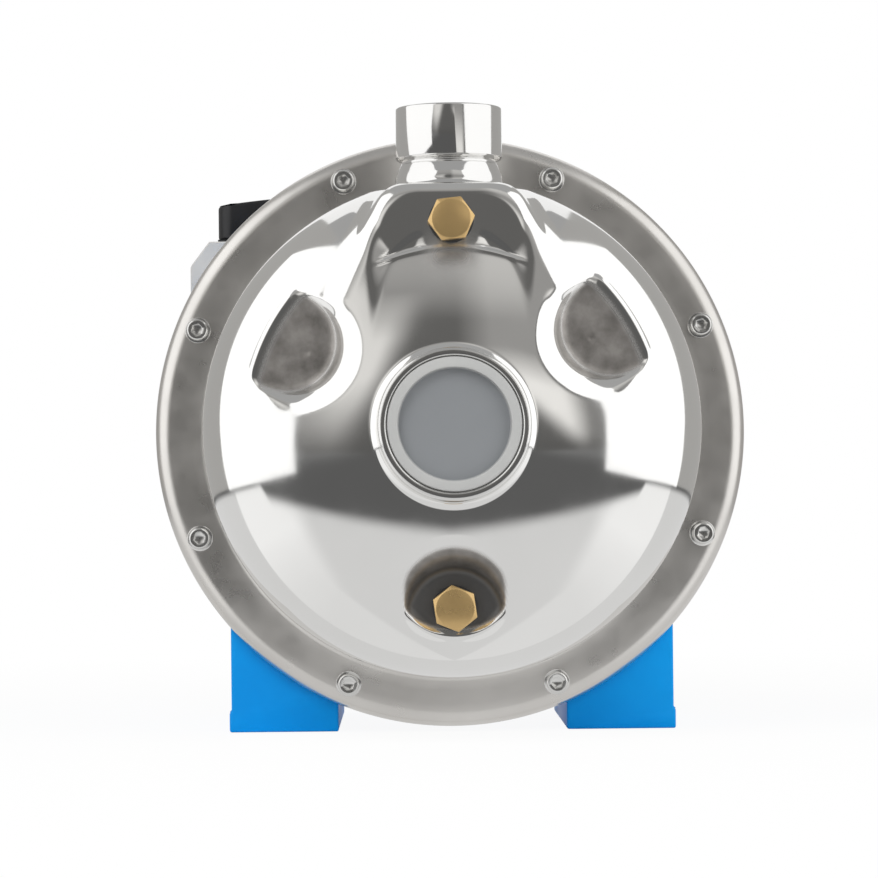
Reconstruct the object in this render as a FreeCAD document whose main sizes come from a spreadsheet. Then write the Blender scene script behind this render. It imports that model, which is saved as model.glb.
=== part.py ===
import FreeCAD, Part
import math
import os
import re
import Sketcher

# Close-coupled self-priming jet pump with a deep-drawn stainless casing and an electric motor.
# +Z is up and the shaft lies along Y. The suction port faces -Y and the motor is at +Y.
# The origin is on the floor, at the centre of the four foot bolts.
# Distances along the shaft are counted from the joint plane, where the casing meets the seal plate.

Vector = FreeCAD.Vector
doc = FreeCAD.newDocument("centrifugal_pump")
sheet = doc.addObject("Spreadsheet::Sheet", "Sizes")

SIZES = [
    # casing
    ("shaft_height", 117.0, "floor to the shaft axis"),
    ("drum_radius", 93.2, "outside of the casing's drum"),
    ("drum_length", 53.1, "straight stretch of the drum in front of the joint plane"),
    ("crown_radius", 200.0, "sphere radius of the dome's middle"),
    ("crown_edge", 72.0, "where the dome's middle meets the drawn shoulder, from the axis"),
    ("neck_flare", 4.0, "concave radius between dome and suction neck"),
    ("neck_land", 8.8, "straight neck that the suction socket is welded to"),
    ("casing_wall", 1.8, "sheet thickness of the casing"),
    ("flange_width", 21.8, "how far the flange with its lip stands out from the drum"),
    ("flange_lip", 6.0, "radius of the flange's rolled lip"),
    ("base_fillet", 4.0, "radius between drum and flange"),
    ("pocket_centre", 65.5, "distance of the stamped pockets from the axis"),
    ("pocket_radius", 16.2, "radius of a stamped pocket's inner end, half its width"),
    ("pocket_reach", 24.0, "how far a pocket runs outward from its inner end's centre"),
    ("pocket_depth", 3.7, "depth of the pocket floors below the dome"),
    ("pocket_taper", 30.0, "draft of the pocket walls, degrees"),
    ("pad_width", 63.0, "width of the flattened pad on top of the casing"),
    ("pad_line", 65.3, "where the pad's front face meets the dome, from the axis"),
    ("pad_top", 90.0, "height of the pad's flat top above the axis"),
    ("pad_back", 12.0, "where the flat top starts, from the joint plane"),
    ("pad_round", 6.5, "rounding of the pad's upper front edge"),
    ("pad_corner", 12.0, "rounding of the pad's two front corners"),
    # suction side
    ("suction_socket_radius", 27.25, "outside of the suction socket"),
    ("suction_socket_length", 15.0, "length of the suction socket in front of the neck"),
    ("suction_bore", 22.42, "thread bore of the suction socket"),
    ("suction_mouth", 24.1, "relief at the mouth of the suction socket"),
    ("suction_mouth_depth", 3.0, "depth of that relief"),
    ("suction_relief", 22.7, "run-out behind the mouth, where the cap sits"),
    ("suction_relief_depth", 5.0, "length of the run-out"),
    ("suction_spigot", 4.0, "length of the socket inside the neck"),
    ("cap_recess", 20.2, "radius of the recess in the transport cap"),
    ("cap_floor_depth", 3.5, "depth of the recess"),
    ("cap_wall", 1.6, "wall of the transport cap"),
    # discharge side
    ("discharge_setback", 45.0, "discharge axis in front of the joint plane"),
    ("discharge_radius", 20.0, "outside of the discharge socket"),
    ("discharge_bore", 15.15, "thread bore of the discharge socket"),
    ("discharge_top", 120.5, "top of the discharge socket above the axis"),
    ("discharge_socket_length", 19.5, "length of the socket above its neck"),
    ("discharge_neck_flare", 21.4, "radius of the neck where it meets the casing"),
    ("weld_gap", 0.05, "gap in welded and pressed seats"),
    # plugs
    ("priming_height", 75.0, "priming plug above the axis"),
    ("drain_drop", 66.0, "drain plug below the axis"),
    ("plug_bore", 5.72, "thread bore of the plug bosses"),
    ("plug_flats", 15.0, "width across the flats of the plugs"),
    ("plug_head", 6.0, "height of the plug heads"),
    ("plug_thread", 9.0, "length of the plug threads"),
    ("plug_clearance", 0.08, "radial clearance of the plug threads"),
    ("plug_chamfer", 1.7, "chamfer at the corners of the plug heads"),
    ("gasket_radius", 8.2, "outside of the plug gaskets"),
    ("gasket_thickness", 1.5, "thickness of the plug gaskets"),
    ("boss_radius", 7.5, "outside of the welded plug bosses"),
    ("boss_length", 8.0, "length of the welded plug bosses"),
    # casing screws
    ("screw_inset", 9.2, "circle of casing screws inside the flange's edge"),
    ("screw_count", 8.0, "number of casing screws"),
    ("screw_thread", 2.5, "thread radius of the casing screws"),
    ("screw_hole", 2.75, "clearance hole for the casing screws"),
    ("screw_head", 4.1, "head radius of the casing screws"),
    ("screw_head_height", 5.0, "head height of the casing screws"),
    ("screw_socket_flats", 4.0, "hexagon socket of the casing screws"),
    ("screw_socket_depth", 2.6, "depth of that socket"),
    ("screw_length", 14.5, "length under the head"),
    ("washer_radius", 5.0, "outside of the casing washers"),
    ("washer_thickness", 1.0, "thickness of the casing washers"),
    # seal plate and seal
    ("seal_plate_wall", 2.0, "sheet thickness of the seal plate"),
    ("seal_plate_dish", 6.0, "how far the seal plate's middle stands in front of the joint plane"),
    ("seal_plate_gap", 0.3, "gap between seal plate spigot and casing"),
    ("ring_groove_width", 2.6, "groove for the casing seal ring"),
    ("ring_groove_depth", 2.4, "depth of that groove"),
    ("ring_section", 1.05, "section radius of the casing seal ring"),
    ("seal_pot_radius", 16.0, "inside of the seal pot in the seal plate"),
    ("seal_pot_depth", 20.0, "pot floor behind the joint plane"),
    ("seal_plate_bore", 8.2, "shaft hole in the pot floor"),
    ("seal_seat_bore", 7.6, "bore of the fixed seal seat"),
    ("seal_seat_length", 5.5, "length of the fixed seal seat"),
    ("seal_ring_radius", 12.8, "outside of the turning seal ring"),
    ("seal_ring_length", 5.0, "length of the turning seal ring"),
    ("seal_bellows_radius", 12.0, "outside of the seal bellows"),
    ("seal_bellows_folds", 4.0, "folds of the seal bellows"),
    ("running_gap", 0.3, "gap between turning and fixed faces"),
    # hydraulics
    ("impeller_radius", 61.0, "outside of the impeller"),
    ("impeller_back", 8.8, "rear face of the impeller in front of the joint plane"),
    ("shroud_thickness", 2.2, "thickness of the impeller shrouds"),
    ("passage_width", 8.0, "width of the impeller passages"),
    ("impeller_eye", 19.0, "radius of the impeller eye"),
    ("impeller_hub", 12.0, "radius of the impeller hub"),
    ("eye_neck", 3.0, "length of the impeller's eye neck"),
    ("vane_count", 7.0, "number of impeller vanes"),
    ("vane_curve", 33.0, "centre-line radius of an impeller vane"),
    ("vane_offset", 30.0, "distance of the vane's curve centre from the axis"),
    ("vane_thickness", 2.0, "thickness of an impeller vane"),
    ("vane_start", 134.0, "angle where a vane starts about its own centre"),
    ("vane_end", 31.0, "angle where a vane ends about its own centre"),
    ("guide_inner", 64.0, "inner end of the diffuser vanes"),
    ("guide_outer", 80.0, "outer end of the diffuser vanes"),
    ("guide_count", 9.0, "number of diffuser vanes"),
    ("guide_sweep", 24.0, "how far a diffuser vane sweeps round, degrees"),
    ("guide_thickness", 2.6, "thickness of a diffuser vane"),
    ("diffuser_wall", 3.0, "wall of the diffuser plate"),
    ("diffuser_gap", 1.2, "gap between impeller and diffuser plate"),
    ("venturi_out", 17.0, "outside of the venturi tube at the impeller"),
    ("venturi_waist", 11.5, "outside of the venturi tube at its throat"),
    ("venturi_throat", 8.0, "radius of the throat"),
    ("venturi_wall", 2.4, "wall of the venturi tube"),
    ("ejector_mouth", 23.2, "inside of the ejector's mouth ring"),
    ("ejector_window", 5.0, "radius of the openings where water returns to the ejector"),
    ("ejector_mouth_length", 7.0, "length of the ejector's mouth ring"),
    ("nozzle_tip", 4.5, "outside of the nozzle tip"),
    ("nozzle_root", 9.0, "outside of the nozzle root"),
    ("nozzle_bore", 2.8, "bore of the nozzle"),
    ("nozzle_length", 15.0, "length of the nozzle"),
    ("nozzle_rib", 2.4, "thickness of the ribs that hold the nozzle"),
    # shaft
    ("shaft_wet", 7.0, "shaft radius under impeller and seal"),
    ("shaft_front", 8.5, "shaft radius at the front bearing"),
    ("shaft_body", 10.5, "shaft radius at the rotor"),
    ("shaft_rear", 7.5, "shaft radius at the rear bearing"),
    ("shaft_fan", 6.0, "shaft radius at the fan"),
    ("shaft_stub", 5.0, "thread radius at the wet end"),
    ("nut_flats", 17.0, "width across the flats of the impeller nut"),
    ("nut_height", 7.0, "height of the impeller nut"),
    ("key_width", 4.0, "width of the impeller key"),
    ("key_height", 2.2, "height of the key above its slot floor"),
    ("key_sink", 1.2, "depth of the key in the shaft"),
    ("slinger_radius", 17.0, "outside of the water slinger"),
    ("slinger_place", 27.0, "slinger behind the joint plane"),
    # bracket
    ("ring_inset", 3.5, "outside of the bracket's front ring inside the flange's edge"),
    ("ring_bore", 86.0, "inside of the bracket's front ring"),
    ("ring_depth", 12.0, "depth of the bracket's front ring"),
    ("bell_front_radius", 95.0, "outside of the bell behind the ring"),
    ("bell_rear_radius", 72.0, "outside of the bell at the motor"),
    ("bell_wall", 6.0, "wall of the bell"),
    ("bell_end", 56.0, "motor face of the bracket"),
    ("bearing_hub", 26.0, "outside of the bearing hub"),
    ("foot_inner", 44.8, "inner side of a foot from the middle"),
    ("foot_outer", 87.6, "outer side of a foot from the middle"),
    ("foot_front", 8.0, "front of the feet behind the joint plane"),
    ("foot_length", 110.0, "length of the feet"),
    ("foot_thickness", 8.0, "thickness of the foot plates"),
    ("foot_step", 0.8, "how far the foot plate stands out beyond the leg"),
    ("leg_height", 70.0, "height of the front legs"),
    ("leg_thickness", 10.0, "thickness of the front legs"),
    ("web_thickness", 6.0, "thickness of the side webs"),
    ("web_front_height", 52.0, "height of the side webs at the leg"),
    ("web_rear_height", 10.0, "height of the side webs at the rear"),
    ("foot_bolt_across", 132.0, "foot bolt spacing across the pump"),
    ("foot_bolt_along", 60.0, "foot bolt spacing along the pump"),
    ("foot_hole", 4.5, "radius of the foot bolt holes"),
    # bearings
    ("front_bearing_place", 42.0, "front bearing behind the joint plane"),
    ("front_bearing_radius", 20.0, "outside of the front bearing"),
    ("front_bearing_width", 12.0, "width of the front bearing"),
    ("front_ball", 3.37, "ball radius of the front bearing"),
    ("rear_bearing_radius", 17.5, "outside of the rear bearing"),
    ("rear_bearing_width", 11.0, "width of the rear bearing"),
    ("rear_ball", 2.97, "ball radius of the rear bearing"),
    ("ball_count", 8.0, "balls in each bearing"),
    ("ball_gap", 0.04, "running clearance of the balls"),
    # motor
    ("housing_bore", 58.0, "inside of the motor housing"),
    ("housing_radius", 62.0, "outside of the motor housing under the fins"),
    ("housing_length", 135.0, "length of the motor housing"),
    ("fin_radius", 70.0, "tip radius of the cooling fins"),
    ("fin_thickness", 2.2, "thickness of a cooling fin"),
    ("fin_count", 28.0, "number of cooling fins"),
    ("fin_end_gap", 4.0, "bare housing at each end of the fins"),
    ("spigot_depth", 5.0, "depth of the housing spigots"),
    ("spigot_wall", 4.0, "wall of the housing spigots"),
    ("core_length", 85.0, "length of the stator and rotor packs"),
    ("core_place", 81.0, "front of the stator pack behind the joint plane"),
    ("rotor_radius", 30.0, "outside of the rotor"),
    ("air_gap", 0.35, "gap between rotor and stator"),
    ("slot_count", 24.0, "number of stator slots"),
    ("slot_depth", 14.0, "depth of the stator slots"),
    ("slot_width", 4.0, "width of the stator slots"),
    ("coil_inner", 36.0, "inside of the winding heads"),
    ("coil_outer", 54.0, "outside of the winding heads"),
    ("coil_length", 17.0, "length of the winding heads"),
    ("end_ring_length", 9.0, "length of the rotor's end rings"),
    ("end_ring_bore", 18.0, "bore of the rotor's end rings"),
    ("shield_depth", 12.0, "depth of the rear end shield"),
    ("shield_wall", 4.0, "wall of the rear end shield"),
    ("wave_spring_thickness", 1.0, "thickness of the preload ring"),
    ("rod_circle", 66.0, "radius of the circle of tie rods"),
    ("rod_count", 4.0, "number of tie rods"),
    ("rod_radius", 2.5, "radius of the tie rods"),
    ("rod_flats", 7.0, "width across the flats of the tie rod heads"),
    ("rod_head", 3.5, "height of the tie rod heads"),
    ("rod_grip", 8.0, "thread length of the tie rods in the bracket"),
    ("lug_radius", 6.0, "radius of the lugs that take the tie rods"),
    ("fan_radius", 57.0, "outside of the cooling fan"),
    ("fan_hub", 11.0, "radius of the fan hub"),
    ("fan_depth", 18.0, "depth of the fan blades"),
    ("fan_disc", 2.0, "thickness of the fan disc"),
    ("fan_disc_radius", 34.0, "radius of the fan disc"),
    ("fan_blades", 9.0, "number of fan blades"),
    ("fan_blade_thickness", 2.0, "thickness of the fan blades"),
    ("fan_gap", 6.0, "gap between end shield and fan"),
    ("cover_radius", 72.0, "outside of the fan cover"),
    ("cover_wall", 1.5, "wall of the fan cover"),
    ("cover_overlap", 8.0, "how far the fan cover reaches over the end shield"),
    ("cover_end_gap", 8.0, "gap between fan and cover"),
    ("cover_round", 10.0, "rounding of the fan cover's rear edge"),
    ("grille_count", 20.0, "number of slots in the fan cover"),
    ("grille_inner", 20.0, "inner end of the slots"),
    ("grille_outer", 57.0, "outer end of the slots"),
    ("grille_width", 4.6, "width of the slots"),
    # terminal box
    ("box_left", 105.0, "left side of the terminal box from the axis"),
    ("box_right", 27.0, "right side of the terminal box from the axis"),
    ("box_front", 66.0, "front of the terminal box behind the joint plane"),
    ("box_length", 100.0, "length of the terminal box"),
    ("box_low", 58.0, "underside of the terminal box above the axis"),
    ("box_rim", 80.6, "rim of the terminal box above the axis"),
    ("box_wall", 3.0, "wall of the terminal box"),
    ("box_chamfer_across", 7.7, "chamfer of the terminal box, across"),
    ("box_chamfer_down", 10.2, "chamfer of the terminal box, down"),
    ("box_ledge", 3.5, "ledge around the lid"),
    ("sump_width", 46.0, "width of the deep part of the terminal box"),
    ("sump_middle", 68.0, "middle of that deep part from the axis"),
    ("saddle_gap", 0.3, "gap between terminal box and fins"),
    ("lid_height", 14.0, "height of the lid's side walls"),
    ("lid_crown", 4.3, "rise of the lid's crown"),
    ("lid_wall", 2.5, "wall of the lid"),
    ("lid_corner", 6.0, "corner radius of the lid"),
    ("lid_gasket", 1.0, "thickness of the lid gasket"),
    ("lid_screw", 1.9, "radius of the lid screws"),
    ("lid_screw_head", 3.6, "head radius of the lid screws"),
    ("lid_boss", 4.4, "radius of the lid screw pillars"),
    ("capacitor_radius", 13.0, "radius of the capacitor"),
    ("capacitor_gap", 2.5, "gap between capacitor and box front"),
    ("cable_room", 14.5, "room for the cable behind the capacitor"),
    ("terminal_width", 26.0, "width of the terminal block"),
    ("terminal_length", 44.0, "length of the terminal block"),
    ("terminal_height", 7.0, "height of the terminal block"),
    ("stud_across", 12.0, "spacing of the terminal studs across the block"),
    ("stud_along", 15.0, "spacing of the terminal studs along the block"),
    ("stud_length", 15.0, "length of the terminal studs"),
    ("stud_flats", 6.0, "width across the flats of the stud nuts"),
    ("stud_nut", 2.5, "height of the stud nuts"),
    ("stud_radius", 2.0, "radius of the terminal studs"),
    ("gland_radius", 11.0, "radius of the cable gland"),
    ("gland_bore", 4.5, "cable hole of the gland"),
    ("gland_thread", 7.5, "radius of the gland's thread"),
    ("gland_collar", 5.0, "thickness of the gland's collar"),
    ("gland_nut", 10.0, "length of the gland's nut"),
]

PLACES = {}
for row, (alias, value, meaning) in enumerate(SIZES, 1):
    sheet.set(f"A{row}", meaning)
    sheet.set(f"B{row}", str(value))
    sheet.setAlias(f"B{row}", alias)
    PLACES[alias] = row
doc.recompute()


# Writing sizes as expressions
def formula(text):
    """Points every size name in the text at its cell."""
    return re.sub(r"[a-z][a-z_]*", lambda word: named(word.group()), str(text))


def named(word):
    return "Sizes." + word if word in PLACES else word


def number(text):
    return float(sheet.evalExpression(formula(text)))


def whole(text):
    return int(round(number(text)))


def bind(obj, prop, text):
    obj.setExpression(prop, formula(text))


# Lengths that follow from the sizes
JOINT = "(-(foot_front + foot_length/2))"
SIN_EDGE = "(crown_edge/crown_radius)"
COS_EDGE = f"sqrt(1 - {SIN_EDGE}*{SIN_EDGE})"
SHOULDER = f"((drum_radius - crown_edge)/(1 - {SIN_EDGE}))"
SHOULDER_Y = f"(-drum_length - {SHOULDER}*{COS_EDGE})"
FLARE_R = "((suction_socket_radius + neck_flare)/(1 + neck_flare/crown_radius))"
SIN_FLARE = f"({FLARE_R}/crown_radius)"
COS_FLARE = f"sqrt(1 - {SIN_FLARE}*{SIN_FLARE})"
FLARE_Y = f"({SHOULDER_Y} - crown_radius*({COS_FLARE} - {COS_EDGE}))"
NECK_Y = f"({FLARE_Y} - neck_flare*{COS_FLARE})"
NECK_END = f"({NECK_Y} - neck_land)"
SUCTION_FACE = f"({NECK_END} - suction_socket_length)"
NECK_BORE = "(suction_socket_radius - casing_wall)"
FLANGE_R = "(drum_radius + flange_width)"
FLAT_R = f"({FLANGE_R} - flange_lip)"
SCREW_CIRCLE = f"({FLANGE_R} - screw_inset)"
RING_R = f"({FLANGE_R} - ring_inset)"
SPIGOT_R = "(drum_radius - casing_wall - seal_plate_gap)"
IMPELLER_FRONT = "(-impeller_back - 2*shroud_thickness - passage_width)"
DIFFUSER_BACK = f"({IMPELLER_FRONT} - diffuser_gap)"
DIFFUSER_FRONT = f"({DIFFUSER_BACK} - diffuser_wall)"
NUT_BACK = "(-impeller_back - shroud_thickness - passage_width)"
BRACKET_FRONT = "seal_plate_wall"
HOUSING_END = "(bell_end + housing_length)"
SHIELD_END = f"({HOUSING_END} + shield_depth)"
REAR_BEARING = f"({SHIELD_END} - rear_bearing_width - wave_spring_thickness - 1.5)"
FAN_FRONT = f"({SHIELD_END} + fan_gap)"
FAN_END = f"({FAN_FRONT} + fan_depth)"
COVER_FRONT = f"({SHIELD_END} - cover_overlap)"
COVER_END = f"({FAN_END} + cover_end_gap + cover_wall)"
ROD_FRONT = "(bell_end - rod_grip)"
BOX_FLOOR = "(fin_radius + saddle_gap + box_wall)"
LID_LEFT = "(box_left - box_chamfer_across - box_ledge)"
LID_RIGHT = "(box_right - box_ledge)"
LID_WIDTH = f"({LID_LEFT} + {LID_RIGHT})"
LID_MIDDLE = f"(({LID_RIGHT} - {LID_LEFT})/2)"
LID_LOW = "(box_rim + lid_gasket)"
LID_EDGE = "(box_rim + lid_gasket + lid_height)"


def dome_at(radius):
    """Where the dome's middle lies along the shaft, at a distance from the axis."""
    share = f"({radius}/crown_radius)"
    return f"({SHOULDER_Y} - crown_radius*(sqrt(1 - {share}*{share}) - {COS_EDGE}))"


PAD_FRONT = dome_at("pad_line")
POCKET_FLOOR = f"({dome_at('pocket_centre')} + pocket_depth)"


# Modelling steps that many pieces share
NODES = []


def keep(obj, label):
    """Marks an object as a finished sub-part."""
    obj.Label = label
    NODES.append(obj)
    return obj


def place(obj, across="0", along="0", up="0"):
    """Puts an object relative to the shaft axis and the joint plane."""
    bind(obj, "Placement.Base.x", across)
    bind(obj, "Placement.Base.y", f"{JOINT} + ({along})")
    bind(obj, "Placement.Base.z", f"shaft_height + ({up})")


def body_at_joint(name, across="0", along="0", up="0"):
    body = doc.addObject("PartDesign::Body", name)
    place(body, across, along, up)
    return body


def origin_feature(body, role):
    return [feature for feature in body.Origin.OriginFeatures if feature.Role == role][0]


def arc_between(start, end, radius, turn):
    """Arc from start to end. Turn is 1 for a centre on the left, -1 for one on the right."""
    chord = end - start
    middle = (start + end) * 0.5
    reach = math.sqrt(max(radius**2 - (chord.Length / 2) ** 2, 0.0))
    left = Vector(-chord.y, chord.x, 0).normalize()
    centre = middle + left * (reach * turn)
    first, last = (start, end) if turn > 0 else (end, start)
    first_angle = math.atan2(first.y - centre.y, first.x - centre.x)
    last_angle = math.atan2(last.y - centre.y, last.x - centre.x)
    circle = Part.Circle(centre, Vector(0, 0, 1), radius)
    return Part.ArcOfCircle(circle, first_angle, last_angle)


def sketch(body, name, plane, points, shift=None):
    """Closed outline on one of the body's planes.

    A point is (across, up), or (across, up, radius, turn) where an arc leads to it.
    """
    drawing = body.newObject("Sketcher::SketchObject", name)
    drawing.AttachmentSupport = [(origin_feature(body, plane), "")]
    drawing.MapMode = "FlatFace"
    if shift is not None:
        bind(drawing, "AttachmentOffset.Base.z", shift)
    add_outline(drawing, points)
    return drawing


def add_outline(drawing, points):
    first_edge = drawing.GeometryCount
    count = len(points)
    spots = [Vector(number(point[0]), number(point[1]), 0) for point in points]
    ends = []
    for index, point in enumerate(points):
        start, end = spots[index - 1], spots[index]
        if len(point) == 4:
            drawing.addGeometry(arc_between(start, end, number(point[2]), point[3]), False)
            ends.append((1, 2) if point[3] > 0 else (2, 1))
        else:
            drawing.addGeometry(Part.LineSegment(start, end), False)
            ends.append((1, 2))
    for index, point in enumerate(points):
        edge, following = first_edge + index, first_edge + (index + 1) % count
        tip, tail = ends[index][1], ends[(index + 1) % count][0]
        drawing.addConstraint(Sketcher.Constraint("Coincident", edge, tip, following, tail))
        for kind, coordinate, text in (("DistanceX", spots[index].x, point[0]),
                                       ("DistanceY", spots[index].y, point[1])):
            rule = Sketcher.Constraint(kind, -1, 1, edge, tip, coordinate)
            bind(drawing, f"Constraints[{drawing.addConstraint(rule)}]", text)
        if len(point) == 4:
            rule = Sketcher.Constraint("Radius", edge, number(point[2]))
            bind(drawing, f"Constraints[{drawing.addConstraint(rule)}]", point[2])


def add_circle(drawing, across, up, radius):
    centre = Vector(number(across), number(up), 0)
    edge = drawing.addGeometry(Part.Circle(centre, Vector(0, 0, 1), number(radius)), False)
    for kind, value, text in (("DistanceX", centre.x, across), ("DistanceY", centre.y, up)):
        rule = Sketcher.Constraint(kind, -1, 1, edge, 3, value)
        bind(drawing, f"Constraints[{drawing.addConstraint(rule)}]", text)
    rule = Sketcher.Constraint("Radius", edge, number(radius))
    bind(drawing, f"Constraints[{drawing.addConstraint(rule)}]", radius)


def revolve(body, name, points, kind="PartDesign::Revolution"):
    """Turns an outline of (along, radius) points about the shaft axis."""
    feature = body.newObject(kind, name)
    feature.Profile = sketch(body, name + "_outline", "YZ_Plane", points)
    feature.ReferenceAxis = (feature.Profile[0], ["H_Axis"])
    feature.Angle = 360
    body.Tip = feature
    return feature


def revolve_up(body, name, points, kind="PartDesign::Revolution"):
    """Turns an outline of (radius, height) points about the body's upright axis."""
    feature = body.newObject(kind, name)
    feature.Profile = sketch(body, name + "_outline", "XZ_Plane", points)
    feature.ReferenceAxis = (feature.Profile[0], ["V_Axis"])
    feature.Angle = 360
    body.Tip = feature
    return feature


def extrude(body, name, drawing, length, kind="PartDesign::Pad", back=False, both=False):
    feature = body.newObject(kind, name)
    feature.Profile = drawing
    bind(feature, "Length", length)
    feature.Reversed = back
    feature.Midplane = both
    body.Tip = feature
    return feature


def around(body, name, feature, drawing, count):
    """Repeats a feature about the drawing's normal through its origin."""
    pattern = body.newObject("PartDesign::PolarPattern", name)
    pattern.Originals = [feature]
    pattern.Axis = (drawing, ["N_Axis"])
    pattern.Angle = 360
    bind(pattern, "Occurrences", count)
    body.Tip = pattern
    return pattern


def turned(label, points, along="0"):
    """A finished piece of revolution about the shaft."""
    body = body_at_joint(label, along=along)
    revolve(body, label + "_turning", points)
    return keep(body, label)


BACK = FreeCAD.Rotation(Vector(1, 0, 0), -90)
UP = FreeCAD.Rotation()


def cylinder(name, radius, length, across, along, up, way=BACK):
    rod = doc.addObject("Part::Cylinder", name)
    bind(rod, "Radius", radius)
    bind(rod, "Height", length)
    rod.Placement = FreeCAD.Placement(Vector(), way)
    place(rod, across, along, up)
    return rod


def box(name, width, depth, height, across, along, up):
    """A block from its left, front, lower corner."""
    block = doc.addObject("Part::Box", name)
    bind(block, "Length", width)
    bind(block, "Width", depth)
    bind(block, "Height", height)
    place(block, across, along, up)
    return block


def hexagon(name, flats, height, across, along, up, turn=0.0, way=BACK):
    prism = doc.addObject("Part::Prism", name)
    prism.Polygon = 6
    bind(prism, "Circumradius", f"({flats})/sqrt(3)")
    bind(prism, "Height", height)
    prism.Placement = FreeCAD.Placement(Vector(), way * FreeCAD.Rotation(Vector(0, 0, 1), turn))
    place(prism, across, along, up)
    return prism


def join(name, pieces):
    fused = doc.addObject("Part::MultiFuse", name)
    fused.Shapes = pieces
    return fused


def cut(name, base, tools):
    """Base without the tools."""
    result = doc.addObject("Part::Cut", name)
    result.Base = base
    result.Tool = tools[0] if len(tools) == 1 else join(name + "_tools", tools)
    return result


def group(label, pieces):
    """Separate equal solids under one name."""
    bundle = doc.addObject("Part::Compound", label)
    bundle.Links = pieces
    return keep(bundle, label)


def on_circle(circle, start, count, index):
    """Across and up of one place on a bolt circle."""
    angle = f"({start} + 360*{index}/{count})"
    return f"({circle})*cos({angle})", f"({circle})*sin({angle})"


# Pump casing: one drawn sheet with a flange, a top pad and three stamped pockets
def casing_form(name, skin, flanged):
    """Solid filling the casing, its surface lying skin below the casing's outside."""
    body = body_at_joint(name)
    half_pad = f"(pad_width/2 - {skin})"
    side_view = [
        ("0", "pad_top/2"),
        ("0", f"pad_top - {skin}"),
        (f"{PAD_FRONT} + pad_round", f"pad_top - {skin}"),
        (f"{PAD_FRONT} + {skin}", "pad_top - pad_round", f"pad_round - {skin}", 1),
        (f"{PAD_FRONT} + {skin}", "pad_top/2"),
    ]
    outline = sketch(body, name + "_pad_side", "YZ_Plane", side_view)
    pad = extrude(body, name + "_pad", outline, f"2*{half_pad}", both=True)
    doc.recompute()
    front = [edge for edge in straight_edges(pad.Shape, "z") if pad_front_corner(pad, edge)]
    rounding = body.newObject("PartDesign::Fillet", name + "_pad_rounding")
    rounding.Base = (pad, front)
    bind(rounding, "Radius", f"pad_corner - {skin}")
    body.Tip = rounding
    rear = [("0", "0")]
    if flanged:
        rear += [
            ("0", FLAT_R),
            ("flange_lip - casing_wall", f"{FLANGE_R} - casing_wall",
             "flange_lip - casing_wall", -1),
            ("flange_lip - casing_wall", FLANGE_R),
            ("-casing_wall", FLAT_R, "flange_lip", 1),
            ("-casing_wall", "drum_radius + base_fillet"),
            ("-casing_wall - base_fillet", "drum_radius", "base_fillet", -1),
        ]
    else:
        rear += [("0", f"drum_radius - {skin}")]
    front = [
        ("-drum_length", f"drum_radius - {skin}"),
        (f"{SHOULDER_Y} + {skin}*{COS_EDGE}", f"crown_edge - {skin}*{SIN_EDGE}",
         f"{SHOULDER} - {skin}", 1),
        (f"{FLARE_Y} + {skin}*{COS_FLARE}", f"{FLARE_R} - {skin}*{SIN_FLARE}",
         f"crown_radius - {skin}", 1),
        (NECK_Y, f"suction_socket_radius - {skin}", f"neck_flare + {skin}", -1),
        (NECK_END, f"suction_socket_radius - {skin}"),
        (NECK_END, "0"),
    ]
    revolve(body, name + "_drum", rear + front)
    crown = [
        ("-pad_back", f"pad_top - {skin}"),
        ("-pad_back", "drum_radius + base_fillet"),
        (f"{PAD_FRONT} - base_fillet", "drum_radius + base_fillet"),
        (f"{PAD_FRONT} - base_fillet", f"pad_top - {skin}"),
    ]
    outline = sketch(body, name + "_crown_side", "YZ_Plane", crown)
    extrude(body, name + "_crown", outline, "2*drum_radius", "PartDesign::Pocket", both=True)
    width = f"(pocket_radius + {skin})"
    punch = sketch(body, name + "_punch", "XZ_Plane", [
        (f"-{width}", "-pocket_centre - pocket_reach"),
        (width, "-pocket_centre - pocket_reach"),
        (width, "-pocket_centre"),
        ("0", f"-pocket_centre + {width}", width, 1),
        (f"-{width}", "-pocket_centre", width, 1),
    ], f"-{POCKET_FLOOR} - {skin}")
    stroke = f"{POCKET_FLOOR} - {NECK_END}"
    stamp = extrude(body, name + "_stamp", punch, stroke, "PartDesign::Pocket", back=True)
    bind(stamp, "TaperAngle", "pocket_taper")
    around(body, name + "_stamps", stamp, punch, "3")
    return body


def straight_edges(shape, direction):
    """Names of the straight edges along one axis."""
    names = []
    for index, edge in enumerate(shape.Edges, 1):
        if len(edge.Vertexes) < 2:
            continue
        run = edge.Vertexes[1].Point - edge.Vertexes[0].Point
        if abs(abs(getattr(run, direction)) - run.Length) < 1e-6:
            names.append(f"Edge{index}")
    return names


def pad_front_corner(pad, name):
    """True for the two upright corners at the front of the pad."""
    edge = pad.Shape.getElement(name)
    return edge.CenterOfMass.y < number(PAD_FRONT) / 2


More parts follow.
